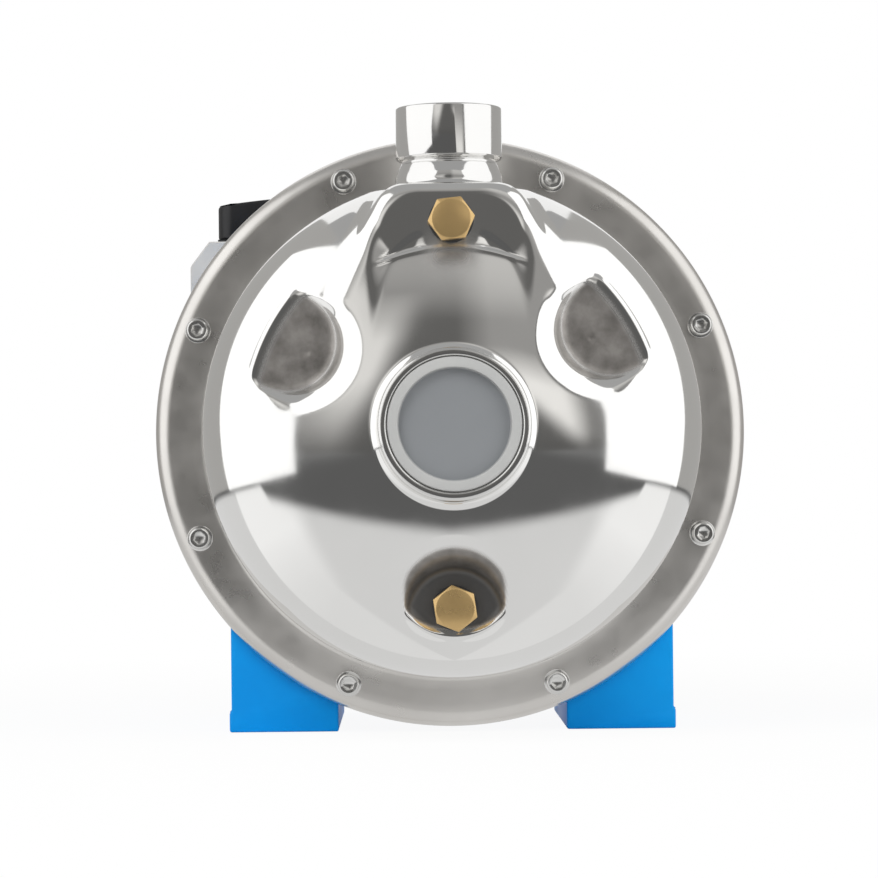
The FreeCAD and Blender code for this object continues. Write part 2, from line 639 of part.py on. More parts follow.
def make_casing():
    outside = casing_form("casing_outside", "0", True)
    inside = casing_form("casing_inside", "casing_wall", False)
    tools = [inside]
    tools.append(cylinder("casing_neck_opening", NECK_BORE, "suction_socket_length",
                          "0", f"{NECK_END} - suction_socket_length/2", "0"))
    tools.append(cylinder("casing_outlet", "discharge_bore", "pad_top/2",
                          "0", "-discharge_setback", "pad_top*3/4", UP))
    for name, face, up in (("priming", PAD_FRONT, "priming_height"),
                           ("drain", POCKET_FLOOR, "-drain_drop")):
        tools.append(cylinder(f"casing_{name}_hole", "plug_bore + weld_gap", "8*casing_wall",
                              "0", f"{face} - 4*casing_wall", up))
    for index in range(whole("screw_count")):
        across, up = on_circle(SCREW_CIRCLE, "180/screw_count", "screw_count", index)
        tools.append(cylinder(f"casing_screw_hole_{index}", "screw_hole", "4*casing_wall",
                              across, "-3*casing_wall", up))
    keep(cut("pump_casing", outside, tools), "pump_casing")


# Suction socket and its transport cap
def make_suction():
    turned("suction_socket", [
        (f"{NECK_END} + suction_spigot", "suction_bore"),
        (f"{NECK_END} + suction_spigot", f"{NECK_BORE} - weld_gap"),
        (NECK_END, f"{NECK_BORE} - weld_gap"),
        (NECK_END, "suction_socket_radius"),
        (f"{SUCTION_FACE} + casing_wall/2", "suction_socket_radius"),
        (SUCTION_FACE, "suction_socket_radius - casing_wall/2"),
        (SUCTION_FACE, "suction_mouth"),
        (f"{SUCTION_FACE} + suction_mouth_depth", "suction_mouth"),
        (f"{SUCTION_FACE} + suction_mouth_depth", "suction_relief"),
        (f"{SUCTION_FACE} + suction_mouth_depth + suction_relief_depth", "suction_relief"),
        (f"{SUCTION_FACE} + suction_mouth_depth + suction_relief_depth", "suction_bore"),
    ])
    skirt = "(suction_mouth_depth + suction_relief_depth - 2*running_gap)"
    turned("suction_cap", [
        (SUCTION_FACE, "cap_recess"),
        (SUCTION_FACE, "suction_mouth - running_gap"),
        (f"{SUCTION_FACE} + suction_mouth_depth - weld_gap", "suction_mouth - running_gap"),
        (f"{SUCTION_FACE} + suction_mouth_depth - weld_gap", "suction_relief - running_gap"),
        (f"{SUCTION_FACE} + {skirt}", "suction_relief - 2*running_gap"),
        (f"{SUCTION_FACE} + {skirt}", "cap_recess"),
        (f"{SUCTION_FACE} + cap_floor_depth + cap_wall", "cap_recess"),
        (f"{SUCTION_FACE} + cap_floor_depth + cap_wall", "0"),
        (f"{SUCTION_FACE} + cap_floor_depth", "0"),
        (f"{SUCTION_FACE} + cap_floor_depth", "cap_recess"),
    ])


# Discharge socket with its flared neck
def make_discharge():
    socket_low = "(discharge_top - discharge_socket_length)"
    body = body_at_joint("discharge_socket", along="-discharge_setback")
    revolve_up(body, "discharge_turning", [
        ("discharge_bore", "pad_top"),
        ("discharge_neck_flare", "pad_top"),
        ("discharge_radius - 1", "pad_top + 3.5", "4.5", -1),
        ("discharge_radius - 1", f"{socket_low} - 1"),
        ("discharge_radius - 0.4", socket_low),
        ("discharge_radius", "discharge_top - casing_wall/2"),
        ("discharge_radius - casing_wall/2", "discharge_top"),
        ("discharge_bore + casing_wall/2", "discharge_top"),
        ("discharge_bore", "discharge_top - casing_wall/2"),
    ])
    keep(body, "discharge_socket")


# Priming and drain plugs with their welded bosses and gaskets
def make_plug(name, face, boss, up):
    ring = cylinder(f"{name}_boss_block", "boss_radius", "boss_length", "0", boss, up)
    bore = cylinder(f"{name}_boss_bore", "plug_bore", "2*boss_length",
                    "0", f"{boss} - boss_length/2", up)
    keep(cut(f"{name}_boss", ring, [bore]), f"{name}_boss")
    gasket = cylinder(f"{name}_gasket_disc", "gasket_radius", "gasket_thickness",
                      "0", f"{face} - gasket_thickness", up)
    hole = cylinder(f"{name}_gasket_hole", "plug_bore", "3*gasket_thickness",
                    "0", f"{face} - 2*gasket_thickness", up)
    keep(cut(f"{name}_gasket", gasket, [hole]), f"{name}_gasket")
    head_face = f"({face} - gasket_thickness - plug_head)"
    head = hexagon(f"{name}_head", "plug_flats", "plug_head", "0", head_face, up, 10.0)
    corner_radius = "(plug_flats/sqrt(3))"
    dome = body_at_joint(f"{name}_head_chamfer", along=head_face, up=up)
    revolve(dome, f"{name}_head_chamfer_turning", [
        ("0", "0"),
        ("0", f"{corner_radius} - plug_chamfer"),
        ("plug_chamfer/2", f"{corner_radius} + weld_gap"),
        ("plug_head", f"{corner_radius} + weld_gap"),
        ("plug_head", "0"),
    ])
    trimmed = doc.addObject("Part::Common", f"{name}_head_trimmed")
    trimmed.Base = head
    trimmed.Tool = dome
    shank = cylinder(f"{name}_shank", "plug_bore - plug_clearance",
                     "plug_head/2 + gasket_thickness + plug_thread",
                     "0", f"{head_face} + plug_head/2", up)
    keep(join(f"{name}_plug", [trimmed, shank]), f"{name}_plug")


def make_plugs():
    inner = "casing_wall"
    make_plug("priming", PAD_FRONT, f"{PAD_FRONT} + {inner}", "priming_height")
    make_plug("drain", POCKET_FLOOR, f"{POCKET_FLOOR} + {inner}", "-drain_drop")


# Casing screws and washers
def make_casing_screws():
    screws = []
    washers = []
    seat = "(-casing_wall - washer_thickness)"
    for index in range(whole("screw_count")):
        across, up = on_circle(SCREW_CIRCLE, "180/screw_count", "screw_count", index)
        head = cylinder(f"screw_head_{index}", "screw_head", "screw_head_height",
                        across, f"{seat} - screw_head_height", up)
        shank = cylinder(f"screw_shank_{index}", "screw_thread", "screw_length + 1",
                         across, f"{seat} - 1", up)
        key = hexagon(f"screw_key_{index}", "screw_socket_flats", "2*screw_socket_depth",
                      across, f"{seat} - screw_head_height - screw_socket_depth", up, 15.0)
        blank = join(f"screw_blank_{index}", [head, shank])
        screws.append(cut(f"screw_{index}", blank, [key]))
        disc = cylinder(f"washer_disc_{index}", "washer_radius", "washer_thickness",
                        across, seat, up)
        hole = cylinder(f"washer_hole_{index}", "screw_hole", "3*washer_thickness",
                        across, f"{seat} - washer_thickness", up)
        washers.append(cut(f"washer_{index}", disc, [hole]))
    group("casing_screws", screws)
    group("casing_washers", washers)


# Seal plate, its seal ring and the mechanical seal
def make_seal():
    dish_back = "(-seal_plate_dish + seal_plate_wall)"
    groove_middle = "(-seal_plate_dish/2)"
    pot_wall = "(seal_pot_radius + seal_plate_wall)"
    plate = body_at_joint("seal_plate")
    revolve(plate, "seal_plate_turning", [
        ("0", f"{FLAT_R} - weld_gap"),
        ("0", SPIGOT_R),
        ("-seal_plate_dish", SPIGOT_R),
        ("-seal_plate_dish", "seal_pot_radius"),
        ("seal_pot_depth", "seal_pot_radius"),
        ("seal_pot_depth", "seal_plate_bore"),
        ("seal_pot_depth + seal_plate_wall", "seal_plate_bore"),
        ("seal_pot_depth + seal_plate_wall", pot_wall),
        (dish_back, pot_wall),
        (dish_back, f"{SPIGOT_R} - 2*ring_groove_depth"),
        ("seal_plate_wall", f"{SPIGOT_R} - 2*ring_groove_depth"),
        ("seal_plate_wall", RING_R),
    ])
    revolve(plate, "seal_ring_groove", [
        (f"{groove_middle} - ring_groove_width/2", f"{SPIGOT_R} - ring_groove_depth"),
        (f"{groove_middle} + ring_groove_width/2", f"{SPIGOT_R} - ring_groove_depth"),
        (f"{groove_middle} + ring_groove_width/2", "drum_radius"),
        (f"{groove_middle} - ring_groove_width/2", "drum_radius"),
    ], "PartDesign::Groove")
    holes = plate.newObject("Sketcher::SketchObject", "seal_plate_hole")
    holes.AttachmentSupport = [(origin_feature(plate, "XZ_Plane"), "")]
    holes.MapMode = "FlatFace"
    across, up = on_circle(SCREW_CIRCLE, "180/screw_count", "screw_count", 0)
    add_circle(holes, across, up, "screw_hole")
    drilled = extrude(plate, "seal_plate_drilling", holes, "8*seal_plate_wall",
                      "PartDesign::Pocket", both=True)
    around(plate, "seal_plate_drillings", drilled, holes, "screw_count")
    keep(plate, "seal_plate")
    ring = doc.addObject("Part::Torus", "casing_seal_ring")
    bind(ring, "Radius1", f"{SPIGOT_R} - ring_section")
    bind(ring, "Radius2", "ring_section")
    ring.Placement = FreeCAD.Placement(Vector(), BACK)
    place(ring, "0", groove_middle, "0")
    keep(ring, "casing_seal_ring")
    seat_front = "(seal_pot_depth - seal_seat_length)"
    ring_back = f"({seat_front} - weld_gap)"
    turned("seal_seat", [
        (seat_front, "seal_seat_bore"),
        (seat_front, "seal_ring_radius"),
        (f"{seat_front} + 1.5", "seal_pot_radius - weld_gap"),
        ("seal_pot_depth", "seal_pot_radius - weld_gap"),
        ("seal_pot_depth", "seal_seat_bore"),
    ])
    turned("seal_ring", [
        (f"{ring_back} - seal_ring_length", "shaft_wet + weld_gap"),
        (f"{ring_back} - seal_ring_length", "seal_ring_radius"),
        (f"{ring_back} - 1", "seal_ring_radius"),
        (ring_back, "seal_ring_radius - 1"),
        (ring_back, "seal_seat_bore + 1"),
        (f"{ring_back} - 1", "shaft_wet + weld_gap"),
    ])
    make_bellows(f"({ring_back} - seal_ring_length - weld_gap)")


def make_bellows(back):
    """Rubber bellows that presses the turning ring on its seat."""
    folds = whole("seal_bellows_folds")
    front = "(-impeller_back + weld_gap)"
    pitch = f"(({back} - {front})/{folds})"
    points = [(front, "shaft_wet + weld_gap"), (front, "seal_bellows_radius - 1.5")]
    for fold in range(folds):
        points.append((f"{front} + ({fold} + 0.5)*{pitch}", "seal_bellows_radius"))
        points.append((f"{front} + ({fold} + 1)*{pitch}", "seal_bellows_radius - 1.5"))
    points.append((back, "shaft_wet + weld_gap"))
    turned("seal_bellows", points)


# Impeller: two shrouds with curved vanes between them
def vane_point(curve, angle):
    return f"vane_offset + ({curve})*cos({angle})", f"({curve})*sin({angle})"


def make_impeller():
    body = body_at_joint("impeller_wheel")
    back = "(-impeller_back)"
    vane_back = "(-impeller_back - shroud_thickness)"
    vane_front = "(-impeller_back - shroud_thickness - passage_width)"
    revolve(body, "impeller_back_shroud", [
        (back, "shaft_wet + weld_gap"),
        (back, "impeller_radius"),
        (vane_back, "impeller_radius"),
        (vane_back, "impeller_hub + 4"),
        (f"{vane_back} - 3", "impeller_hub"),
        (vane_front, "impeller_hub"),
        (vane_front, "shaft_wet + weld_gap"),
    ])
    slim, wide = "vane_curve - vane_thickness/2", "vane_curve + vane_thickness/2"
    start_out, start_in = vane_point(wide, "vane_start"), vane_point(slim, "vane_start")
    end_out, end_in = vane_point(wide, "vane_end"), vane_point(slim, "vane_end")
    vane = sketch(body, "vane_outline", "XZ_Plane", [
        start_in,
        (end_in[0], end_in[1], slim, -1),
        end_out,
        (start_out[0], start_out[1], wide, 1),
    ], "impeller_back + shroud_thickness/2")
    one = extrude(body, "vane", vane, "passage_width + shroud_thickness")
    around(body, "vanes", one, vane, "vane_count")
    revolve(body, "impeller_front_shroud", [
        (vane_front, "impeller_eye + 2"),
        (vane_front, "impeller_radius"),
        (f"{vane_front} - shroud_thickness", "impeller_radius"),
        (f"{vane_front} - shroud_thickness", "impeller_eye + shroud_thickness"),
        (f"{vane_front} - shroud_thickness - eye_neck", "impeller_eye + shroud_thickness"),
        (f"{vane_front} - shroud_thickness - eye_neck", "impeller_eye"),
        (f"{vane_front} - shroud_thickness", "impeller_eye"),
    ])
    rim = [
        (f"{vane_front} - passage_width", "impeller_radius"),
        (back, "impeller_radius"),
        (back, "drum_radius"),
        (f"{vane_front} - passage_width", "drum_radius"),
    ]
    revolve(body, "impeller_trim", rim, "PartDesign::Groove")
    slot = box("impeller_key_slot", "key_width + 2*weld_gap", "2*passage_width",
               "key_height + weld_gap",
               "-key_width/2 - weld_gap", f"{vane_front} - 1", "shaft_wet - key_sink")
    keep(cut("impeller_keyed", body, [slot]), "impeller")
    keep(box("impeller_key", "key_width", "passage_width + shroud_thickness - 1", "key_height",
             "-key_width/2", f"{vane_front} + 0.5", "shaft_wet - key_sink"), "impeller_key")
    nut = hexagon("impeller_nut_block", "nut_flats", "nut_height", "0",
                  f"{NUT_BACK} - nut_height", "0")
    bore = cylinder("impeller_nut_bore", "shaft_stub + weld_gap", "2*nut_height", "0",
                    f"{NUT_BACK} - 1.5*nut_height", "0")
    keep(cut("impeller_nut", nut, [bore]), "impeller_nut")


# Diffuser plate with guide vanes, venturi tube and nozzle
def make_hydraulics():
    body = body_at_joint("diffuser")
    revolve(body, "diffuser_plate", [
        (DIFFUSER_BACK, "impeller_eye + shroud_thickness + running_gap"),
        (DIFFUSER_BACK, "guide_outer"),
        (DIFFUSER_FRONT, "guide_outer"),
        (DIFFUSER_FRONT, "impeller_eye + 3*shroud_thickness"),
        (f"{DIFFUSER_FRONT} - eye_neck", "impeller_eye + 2*shroud_thickness"),
        (f"{DIFFUSER_FRONT} - eye_neck", "venturi_out + weld_gap"),
        (f"{DIFFUSER_FRONT}", "venturi_out + weld_gap"),
        (f"{DIFFUSER_FRONT}", "impeller_eye + shroud_thickness + running_gap"),
    ])
    guide = sketch(body, "guide_outline", "XZ_Plane", [
        ("guide_inner + guide_thickness", "0"),
        ("guide_outer*cos(guide_sweep)", "guide_outer*sin(guide_sweep)", "guide_outer", 1),
        ("guide_outer*cos(guide_sweep) - guide_thickness", "guide_outer*sin(guide_sweep)"),
        ("guide_inner", "0", "guide_outer", -1),
    ], "seal_plate_dish")
    one = extrude(body, "guide", guide, f"-({DIFFUSER_BACK}) - seal_plate_dish + 0.5")
    around(body, "guides", one, guide, "guide_count")
    keep(body, "diffuser")
    mouth = f"({NECK_END} + suction_spigot)"
    mouth_back = f"({mouth} + ejector_mouth_length)"
    throat = f"({mouth_back} + 16)"
    tube_end = f"({DIFFUSER_FRONT} - weld_gap)"
    tube = turned_form("ejector_tube", [
        (mouth, "ejector_mouth"),
        (mouth, f"{NECK_BORE} - weld_gap"),
        (mouth_back, f"{NECK_BORE} - weld_gap"),
        (throat, "venturi_waist"),
        (f"{throat} + 10", "venturi_waist"),
        (f"{tube_end} - eye_neck", "venturi_out"),
        (tube_end, "venturi_out"),
        (tube_end, "venturi_out - venturi_wall"),
        (f"{tube_end} - eye_neck", "venturi_out - venturi_wall"),
        (f"{throat} + 10", "venturi_throat"),
        (throat, "venturi_throat"),
        (mouth_back, "ejector_mouth"),
    ])
    windows = []
    for index in range(3):
        way = FreeCAD.Rotation(Vector(0, 1, 0), 120 * index)
        windows.append(cylinder(f"ejector_window_{index}", "ejector_window", "2*suction_bore",
                                "0", f"{mouth_back} + ejector_window + 1", "0", way))
    keep(cut("ejector_body", tube, windows), "ejector_body")
    nozzle = turned_form("nozzle_cone", [
        (f"{mouth} + 1", "nozzle_bore*2"),
        (f"{mouth} + 1", "nozzle_root"),
        (f"{mouth_back} - 1", "nozzle_root"),
        (f"{mouth} + nozzle_length", "nozzle_tip"),
        (f"{mouth} + nozzle_length", "nozzle_bore"),
    ])
    ribs = []
    for index in range(3):
        rib = box(f"nozzle_rib_{index}", "ejector_mouth - nozzle_root + 1 - weld_gap",
                  "ejector_mouth_length - 3", "nozzle_rib", "0", f"{mouth} + 1.5", "0")
        angle = 90 + 120 * index
        rib.Placement.Rotation = FreeCAD.Rotation(Vector(0, 1, 0), -angle)
        bind(rib, "Placement.Base.x", f"(nozzle_root - 1)*cos({angle})"
             f" + nozzle_rib/2*sin({angle})")
        bind(rib, "Placement.Base.z", f"shaft_height + (nozzle_root - 1)*sin({angle})"
             f" - nozzle_rib/2*cos({angle})")
        ribs.append(rib)
    keep(join("ejector_nozzle", [nozzle] + ribs), "ejector_nozzle")


def turned_form(name, points):
    body = body_at_joint(name)
    revolve(body, name + "_turning", points)
    return body


# Motor bracket with the two feet
def make_bracket():
    bell_back = "(bell_end - 12)"
    bell = turned_form("bracket_bell", [
        (BRACKET_FRONT, "ring_bore"),
        (BRACKET_FRONT, RING_R),
        ("seal_plate_wall + ring_depth", RING_R),
        ("seal_plate_wall + ring_depth + 2", "bell_front_radius"),
        (bell_back, "bell_rear_radius"),
        ("bell_end", "bell_rear_radius"),
        ("bell_end", "housing_bore - weld_gap"),
        ("bell_end + spigot_depth", "housing_bore - weld_gap"),
        ("bell_end + spigot_depth", "housing_bore - spigot_wall"),
        ("front_bearing_place + front_bearing_width", "housing_bore - spigot_wall"),
        ("front_bearing_place + front_bearing_width", "front_bearing_radius"),
        ("front_bearing_place", "front_bearing_radius"),
        ("front_bearing_place", "front_bearing_radius - 3"),
        ("front_bearing_place - 3", "front_bearing_radius - 3"),
        ("front_bearing_place - 3", "bearing_hub"),
        ("front_bearing_place + 4", "bearing_hub"),
        ("front_bearing_place + 4", "bell_rear_radius - 2*bell_wall"),
        (f"{bell_back} - bell_wall", "bell_rear_radius - bell_wall"),
        ("seal_plate_wall + ring_depth", "ring_bore"),
    ])
    cavity = turned_form("bracket_cavity", [
        ("0", "0"),
        ("0", "ring_bore"),
        ("seal_plate_wall + ring_depth", "ring_bore"),
        (f"{bell_back} - bell_wall", "bell_rear_radius - bell_wall"),
        ("front_bearing_place + 4", "bell_rear_radius - 2*bell_wall"),
        ("front_bearing_place + 4", "0"),
    ])
    leg_width = "(foot_outer - foot_inner - foot_step)"
    web_length = "(foot_length - leg_thickness/2)"
    parts = []
    for side, name in ((-1, "left"), (1, "right")):
        inner = "-foot_outer + foot_step" if side < 0 else "foot_inner"
        plate_left = "-foot_outer" if side < 0 else "foot_inner"
        parts.append(box(f"foot_plate_{name}", "foot_outer - foot_inner", "foot_length",
                         "foot_thickness", plate_left, "foot_front", "-shaft_height"))
        parts.append(box(f"foot_leg_{name}", leg_width, "leg_thickness", "leg_height",
                         inner, "foot_front", "-shaft_height"))
        for place_name, left in (("in", inner), ("out", f"{inner} + {leg_width} - web_thickness")):
            web = body_at_joint(f"foot_web_{name}_{place_name}", left, "foot_front", "-shaft_height")
            side_view = sketch(web, f"web_side_{name}_{place_name}", "YZ_Plane", [
                ("leg_thickness/2", "foot_thickness/2"),
                (web_length, "foot_thickness/2"),
                (web_length, "web_rear_height"),
                ("leg_thickness + 6", "web_front_height"),
                ("leg_thickness/2", "web_front_height"),
            ])
            extrude(web, f"web_{name}_{place_name}", side_view, "web_thickness")
            parts.append(web)
    tools = [cavity]
    for index in range(whole("screw_count")):
        across, up = on_circle(SCREW_CIRCLE, "180/screw_count", "screw_count", index)
        tools.append(cylinder(f"bracket_screw_hole_{index}", "screw_thread + weld_gap",
                              "ring_depth + 2", across, f"{BRACKET_FRONT} - 1", up))
    for index in range(whole("rod_count")):
        across, up = on_circle("rod_circle", "180/rod_count", "rod_count", index)
        tools.append(cylinder(f"bracket_rod_hole_{index}", "rod_radius + weld_gap",
                              "rod_grip + 1", across, f"{ROD_FRONT} - weld_gap", up))
    for across_sign in (-1, 1):
        for along_sign in (-1, 1):
            tools.append(cylinder(
                f"foot_hole_{across_sign + 1}_{along_sign + 1}", "foot_hole", "3*foot_thickness",
                f"{across_sign}*foot_bolt_across/2",
                f"foot_front + foot_length/2 + {along_sign}*foot_bolt_along/2",
                "-shaft_height - foot_thickness", UP))
    keep(cut("motor_bracket", join("bracket_blank", [bell] + parts), tools), "motor_bracket")


# Shaft with everything that turns on it
def make_shaft():
    wet_front = f"({NUT_BACK} - nut_height - 2)"
    bearing_end = f"({REAR_BEARING} + rear_bearing_width)"
    shaft = turned_form("shaft_turning", [
        (wet_front, "0"),
        (wet_front, "shaft_stub - 1"),
        (f"{wet_front} + 1", "shaft_stub"),
        (NUT_BACK, "shaft_stub"),
        (NUT_BACK, "shaft_wet"),
        ("seal_pot_depth + seal_plate_wall + 2", "shaft_wet"),
        ("seal_pot_depth + seal_plate_wall + 2", "shaft_front"),
        ("front_bearing_place + front_bearing_width", "shaft_front"),
        ("front_bearing_place + front_bearing_width", "shaft_body"),
        (f"{REAR_BEARING}", "shaft_body"),
        (f"{REAR_BEARING}", "shaft_rear"),
        (f"{bearing_end} + 1", "shaft_rear"),
        (f"{bearing_end} + 1", "shaft_fan"),
        (f"{FAN_END} + 3", "shaft_fan"),
        (f"{FAN_END} + 4", "shaft_fan - 1"),
        (f"{FAN_END} + 4", "0"),
    ])
    groove = turned_form("shaft_clip_groove", [
        (f"{FAN_END} + weld_gap", "shaft_fan - 1"),
        (f"{FAN_END} + 1.2 + weld_gap", "shaft_fan - 1"),
        (f"{FAN_END} + 1.2 + weld_gap", "shaft_fan + 1"),
        (f"{FAN_END} + weld_gap", "shaft_fan + 1"),
    ])
    slot = box("shaft_key_slot", "key_width", "passage_width + shroud_thickness - 1",
               "2*key_height", "-key_width/2", f"{NUT_BACK} + 0.5", "shaft_wet - key_sink")
    keep(cut("shaft", shaft, [groove, slot]), "shaft")
    turned("water_slinger", [
        ("slinger_place", "shaft_front"),
        ("slinger_place", "shaft_front + 3"),
        ("slinger_place + 2", "slinger_radius"),
        ("slinger_place + 3", "slinger_radius"),
        ("slinger_place + 4", "shaft_front + 3"),
        ("slinger_place + 5", "shaft_front"),
    ])
    core_end = "(core_place + core_length)"
    turned("rotor_core", [
        ("core_place - end_ring_length", "end_ring_bore"),
        ("core_place - end_ring_length", "rotor_radius - 1.5"),
        ("core_place", "rotor_radius - 1.5"),
        ("core_place", "rotor_radius"),
        (core_end, "rotor_radius"),
        (core_end, "rotor_radius - 1.5"),
        (f"{core_end} + end_ring_length", "rotor_radius - 1.5"),
        (f"{core_end} + end_ring_length", "end_ring_bore"),
        (core_end, "end_ring_bore"),
        (core_end, "shaft_body"),
        ("core_place", "shaft_body"),
        ("core_place", "end_ring_bore"),
    ])


# Ball bearing: two grooved rings, and the balls in their cage
def make_bearing(name, front, bore, outside, width, ball):
    middle = f"({front} + {width}/2)"
    pitch = f"(({bore} + {outside})/2)"
    groove = f"({ball} + ball_gap)"
    step = f"({ball}*0.62)"
    inner_land, outer_land = f"({pitch} - {step})", f"({pitch} + {step})"
    half = f"(sqrt({groove}*{groove} - {step}*{step}))"
    end = f"({front} + {width})"
    turned(f"{name}_inner_ring", [
        (front, bore),
        (front, inner_land),
        (f"{middle} - {half}", inner_land),
        (f"{middle} + {half}", inner_land, groove, 1),
        (end, inner_land),
        (end, bore),
    ])
    turned(f"{name}_outer_ring", [
        (front, outside),
        (front, outer_land),
        (f"{middle} - {half}", outer_land),
        (f"{middle} + {half}", outer_land, groove, -1),
        (end, outer_land),
        (end, outside),
    ])
    half_cage = f"({width}*0.36)"
    cage = turned_form(f"{name}_cage_ring", [
        (f"{middle} - {half_cage}", f"{pitch} - {step}/2"),
        (f"{middle} - {half_cage}", f"{pitch} + {step}/2"),
        (f"{middle} + {half_cage}", f"{pitch} + {step}/2"),
        (f"{middle} + {half_cage}", f"{pitch} - {step}/2"),
    ])
    balls = []
    pockets = []
    for index in range(whole("ball_count")):
        across, up = on_circle(pitch, "0", "ball_count", index)
        way = FreeCAD.Rotation(Vector(0, 1, 0), 90 - 360 * index / whole("ball_count"))
        pockets.append(cylinder(f"{name}_pocket_{index}", groove, outside, "0", middle, "0", way))
        sphere = doc.addObject("Part::Sphere", f"{name}_ball_{index}")
        bind(sphere, "Radius", ball)
        place(sphere, across, middle, up)
        balls.append(sphere)
    group(f"{name}_balls", [cut(f"{name}_cage", cage, pockets)] + balls)


def make_bearings():
    make_bearing("front_bearing", "front_bearing_place", "shaft_front", "front_bearing_radius",
                 "front_bearing_width", "front_ball")
    make_bearing("rear_bearing", REAR_BEARING, "shaft_rear", "rear_bearing_radius",
                 "rear_bearing_width", "rear_ball")


# Stator, windings, housing and rear end shield
def make_motor():
    core_end = "(core_place + core_length)"
    core = body_at_joint("stator_core")
    revolve(core, "stator_pack", [
        ("core_place", "rotor_radius + air_gap"),
        ("core_place", "housing_bore - weld_gap"),
        (core_end, "housing_bore - weld_gap"),
        (core_end, "rotor_radius + air_gap"),
    ])
    slot_low = "(rotor_radius + air_gap - 1)"
    slot = sketch(core, "stator_slot_outline", "XZ_Plane", [
        ("-slot_width/4", slot_low),
        ("slot_width/4", slot_low),
        ("slot_width/4", f"{slot_low} + 3"),
        ("slot_width/2", f"{slot_low} + slot_depth"),
        ("-slot_width/2", f"{slot_low} + slot_depth"),
        ("-slot_width/4", f"{slot_low} + 3"),
    ])
    one = extrude(core, "stator_slot", slot, "3*core_place", "PartDesign::Pocket", both=False)
    around(core, "stator_slots", one, slot, "slot_count")
    keep(core, "stator_core")
    heads = []
    for name, near, way in (("front", "core_place - weld_gap", "-1"),
                            ("rear", f"{core_end} + weld_gap", "1")):
        far = f"({near} + ({way})*coil_length)"
        shoulder = f"({near} + ({way})*(coil_length - 5))"
        rising = -1 if way == "-1" else 1
        heads.append(turned_form(f"winding_{name}", [
            (near, "coil_inner"),
            (shoulder, "coil_inner"),
            (far, "coil_inner + 5", "5", -rising),
            (far, "coil_outer - 5"),
            (shoulder, "coil_outer", "5", -rising),
            (near, "coil_outer"),
        ] if way == "1" else [
            (near, "coil_outer"),
            (shoulder, "coil_outer"),
            (far, "coil_outer - 5", "5", 1),
            (far, "coil_inner + 5"),
            (shoulder, "coil_inner", "5", 1),
            (near, "coil_inner"),
        ]))
    group("stator_windings", heads)
    housing = body_at_joint("motor_housing")
    revolve(housing, "housing_tube", [
        ("bell_end", "housing_bore"),
        ("bell_end", "housing_radius"),
        (HOUSING_END, "housing_radius"),
        (HOUSING_END, "housing_bore"),
    ])
    fin = sketch(housing, "fin_outline", "XZ_Plane", [
        ("housing_radius - 1", "-fin_thickness/2"),
        ("fin_radius", "-fin_thickness/3"),
        ("fin_radius", "fin_thickness/3"),
        ("housing_radius - 1", "fin_thickness/2"),
    ], "-(bell_end + fin_end_gap)")
    one = extrude(housing, "fin", fin, "housing_length - 2*fin_end_gap", back=True)
    around(housing, "fins", one, fin, "fin_count")
    keep(housing, "motor_housing")
    shield = turned_form("shield_disc", [
        (HOUSING_END, "housing_bore - spigot_wall"),
        (f"{HOUSING_END} - spigot_depth", "housing_bore - spigot_wall"),
        (f"{HOUSING_END} - spigot_depth", "housing_bore - weld_gap"),
        (HOUSING_END, "housing_bore - weld_gap"),
        (HOUSING_END, "rod_circle"),
        (f"{SHIELD_END} - 2", "rod_circle"),
        (SHIELD_END, "rod_circle - 2"),
        (SHIELD_END, "rod_circle - shield_wall"),
        (f"{HOUSING_END} + shield_wall", "rod_circle - 2*shield_wall"),
        (f"{HOUSING_END} + shield_wall", "rear_bearing_radius + shield_wall"),
        (f"{SHIELD_END} + 0.5", "rear_bearing_radius + shield_wall"),
        (f"{SHIELD_END} + 0.5", "shaft_rear + 1"),
        (f"{REAR_BEARING} + rear_bearing_width + wave_spring_thickness", "shaft_rear + 1"),
        (f"{REAR_BEARING} + rear_bearing_width + wave_spring_thickness",
         "rear_bearing_radius + weld_gap"),
        (f"{REAR_BEARING} - 1", "rear_bearing_radius + weld_gap"),
        (f"{REAR_BEARING} - 1", "rear_bearing_radius + shield_wall"),
        (HOUSING_END, "rear_bearing_radius + shield_wall"),
    ])
    lugs = []
    holes = []
    for index in range(whole("rod_count")):
        across, up = on_circle("rod_circle", "180/rod_count", "rod_count", index)
        lugs.append(cylinder(f"shield_lug_{index}", "lug_radius - 1", "shield_depth",
                             across, HOUSING_END, up))
        holes.append(cylinder(f"shield_hole_{index}", "rod_radius + weld_gap", "2*shield_depth",
                              across, f"{HOUSING_END} - 1", up))
    trim = turned_form("shield_trim", [
        (f"{HOUSING_END} - 1", "fin_radius"),
        (f"{SHIELD_END} + 1", "fin_radius"),
        (f"{SHIELD_END} + 1", "fin_radius + 2*lug_radius"),
        (f"{HOUSING_END} - 1", "fin_radius + 2*lug_radius"),
    ])
    blank = join("shield_blank", [shield] + lugs)
    keep(cut("rear_end_shield", blank, [trim] + holes), "rear_end_shield")
    spring_front = f"({REAR_BEARING} + rear_bearing_width + weld_gap)"
    turned("preload_ring", [
        (spring_front, "rear_bearing_radius - 3"),
        (spring_front, "rear_bearing_radius - weld_gap"),
        (f"{spring_front} + wave_spring_thickness - 2*weld_gap", "rear_bearing_radius - weld_gap"),
        (f"{spring_front} + wave_spring_thickness - 2*weld_gap", "rear_bearing_radius - 3"),
    ])
    rods = []
    for index in range(whole("rod_count")):
        across, up = on_circle("rod_circle", "180/rod_count", "rod_count", index)
        rod = cylinder(f"rod_bar_{index}", "rod_radius", f"{SHIELD_END} - {ROD_FRONT} + 1",
                       across, ROD_FRONT, up)
        head = hexagon(f"rod_head_{index}", "rod_flats", "rod_head", across, SHIELD_END, up)
        rods.append(join(f"rod_{index}", [rod, head]))
    group("tie_rods", rods)


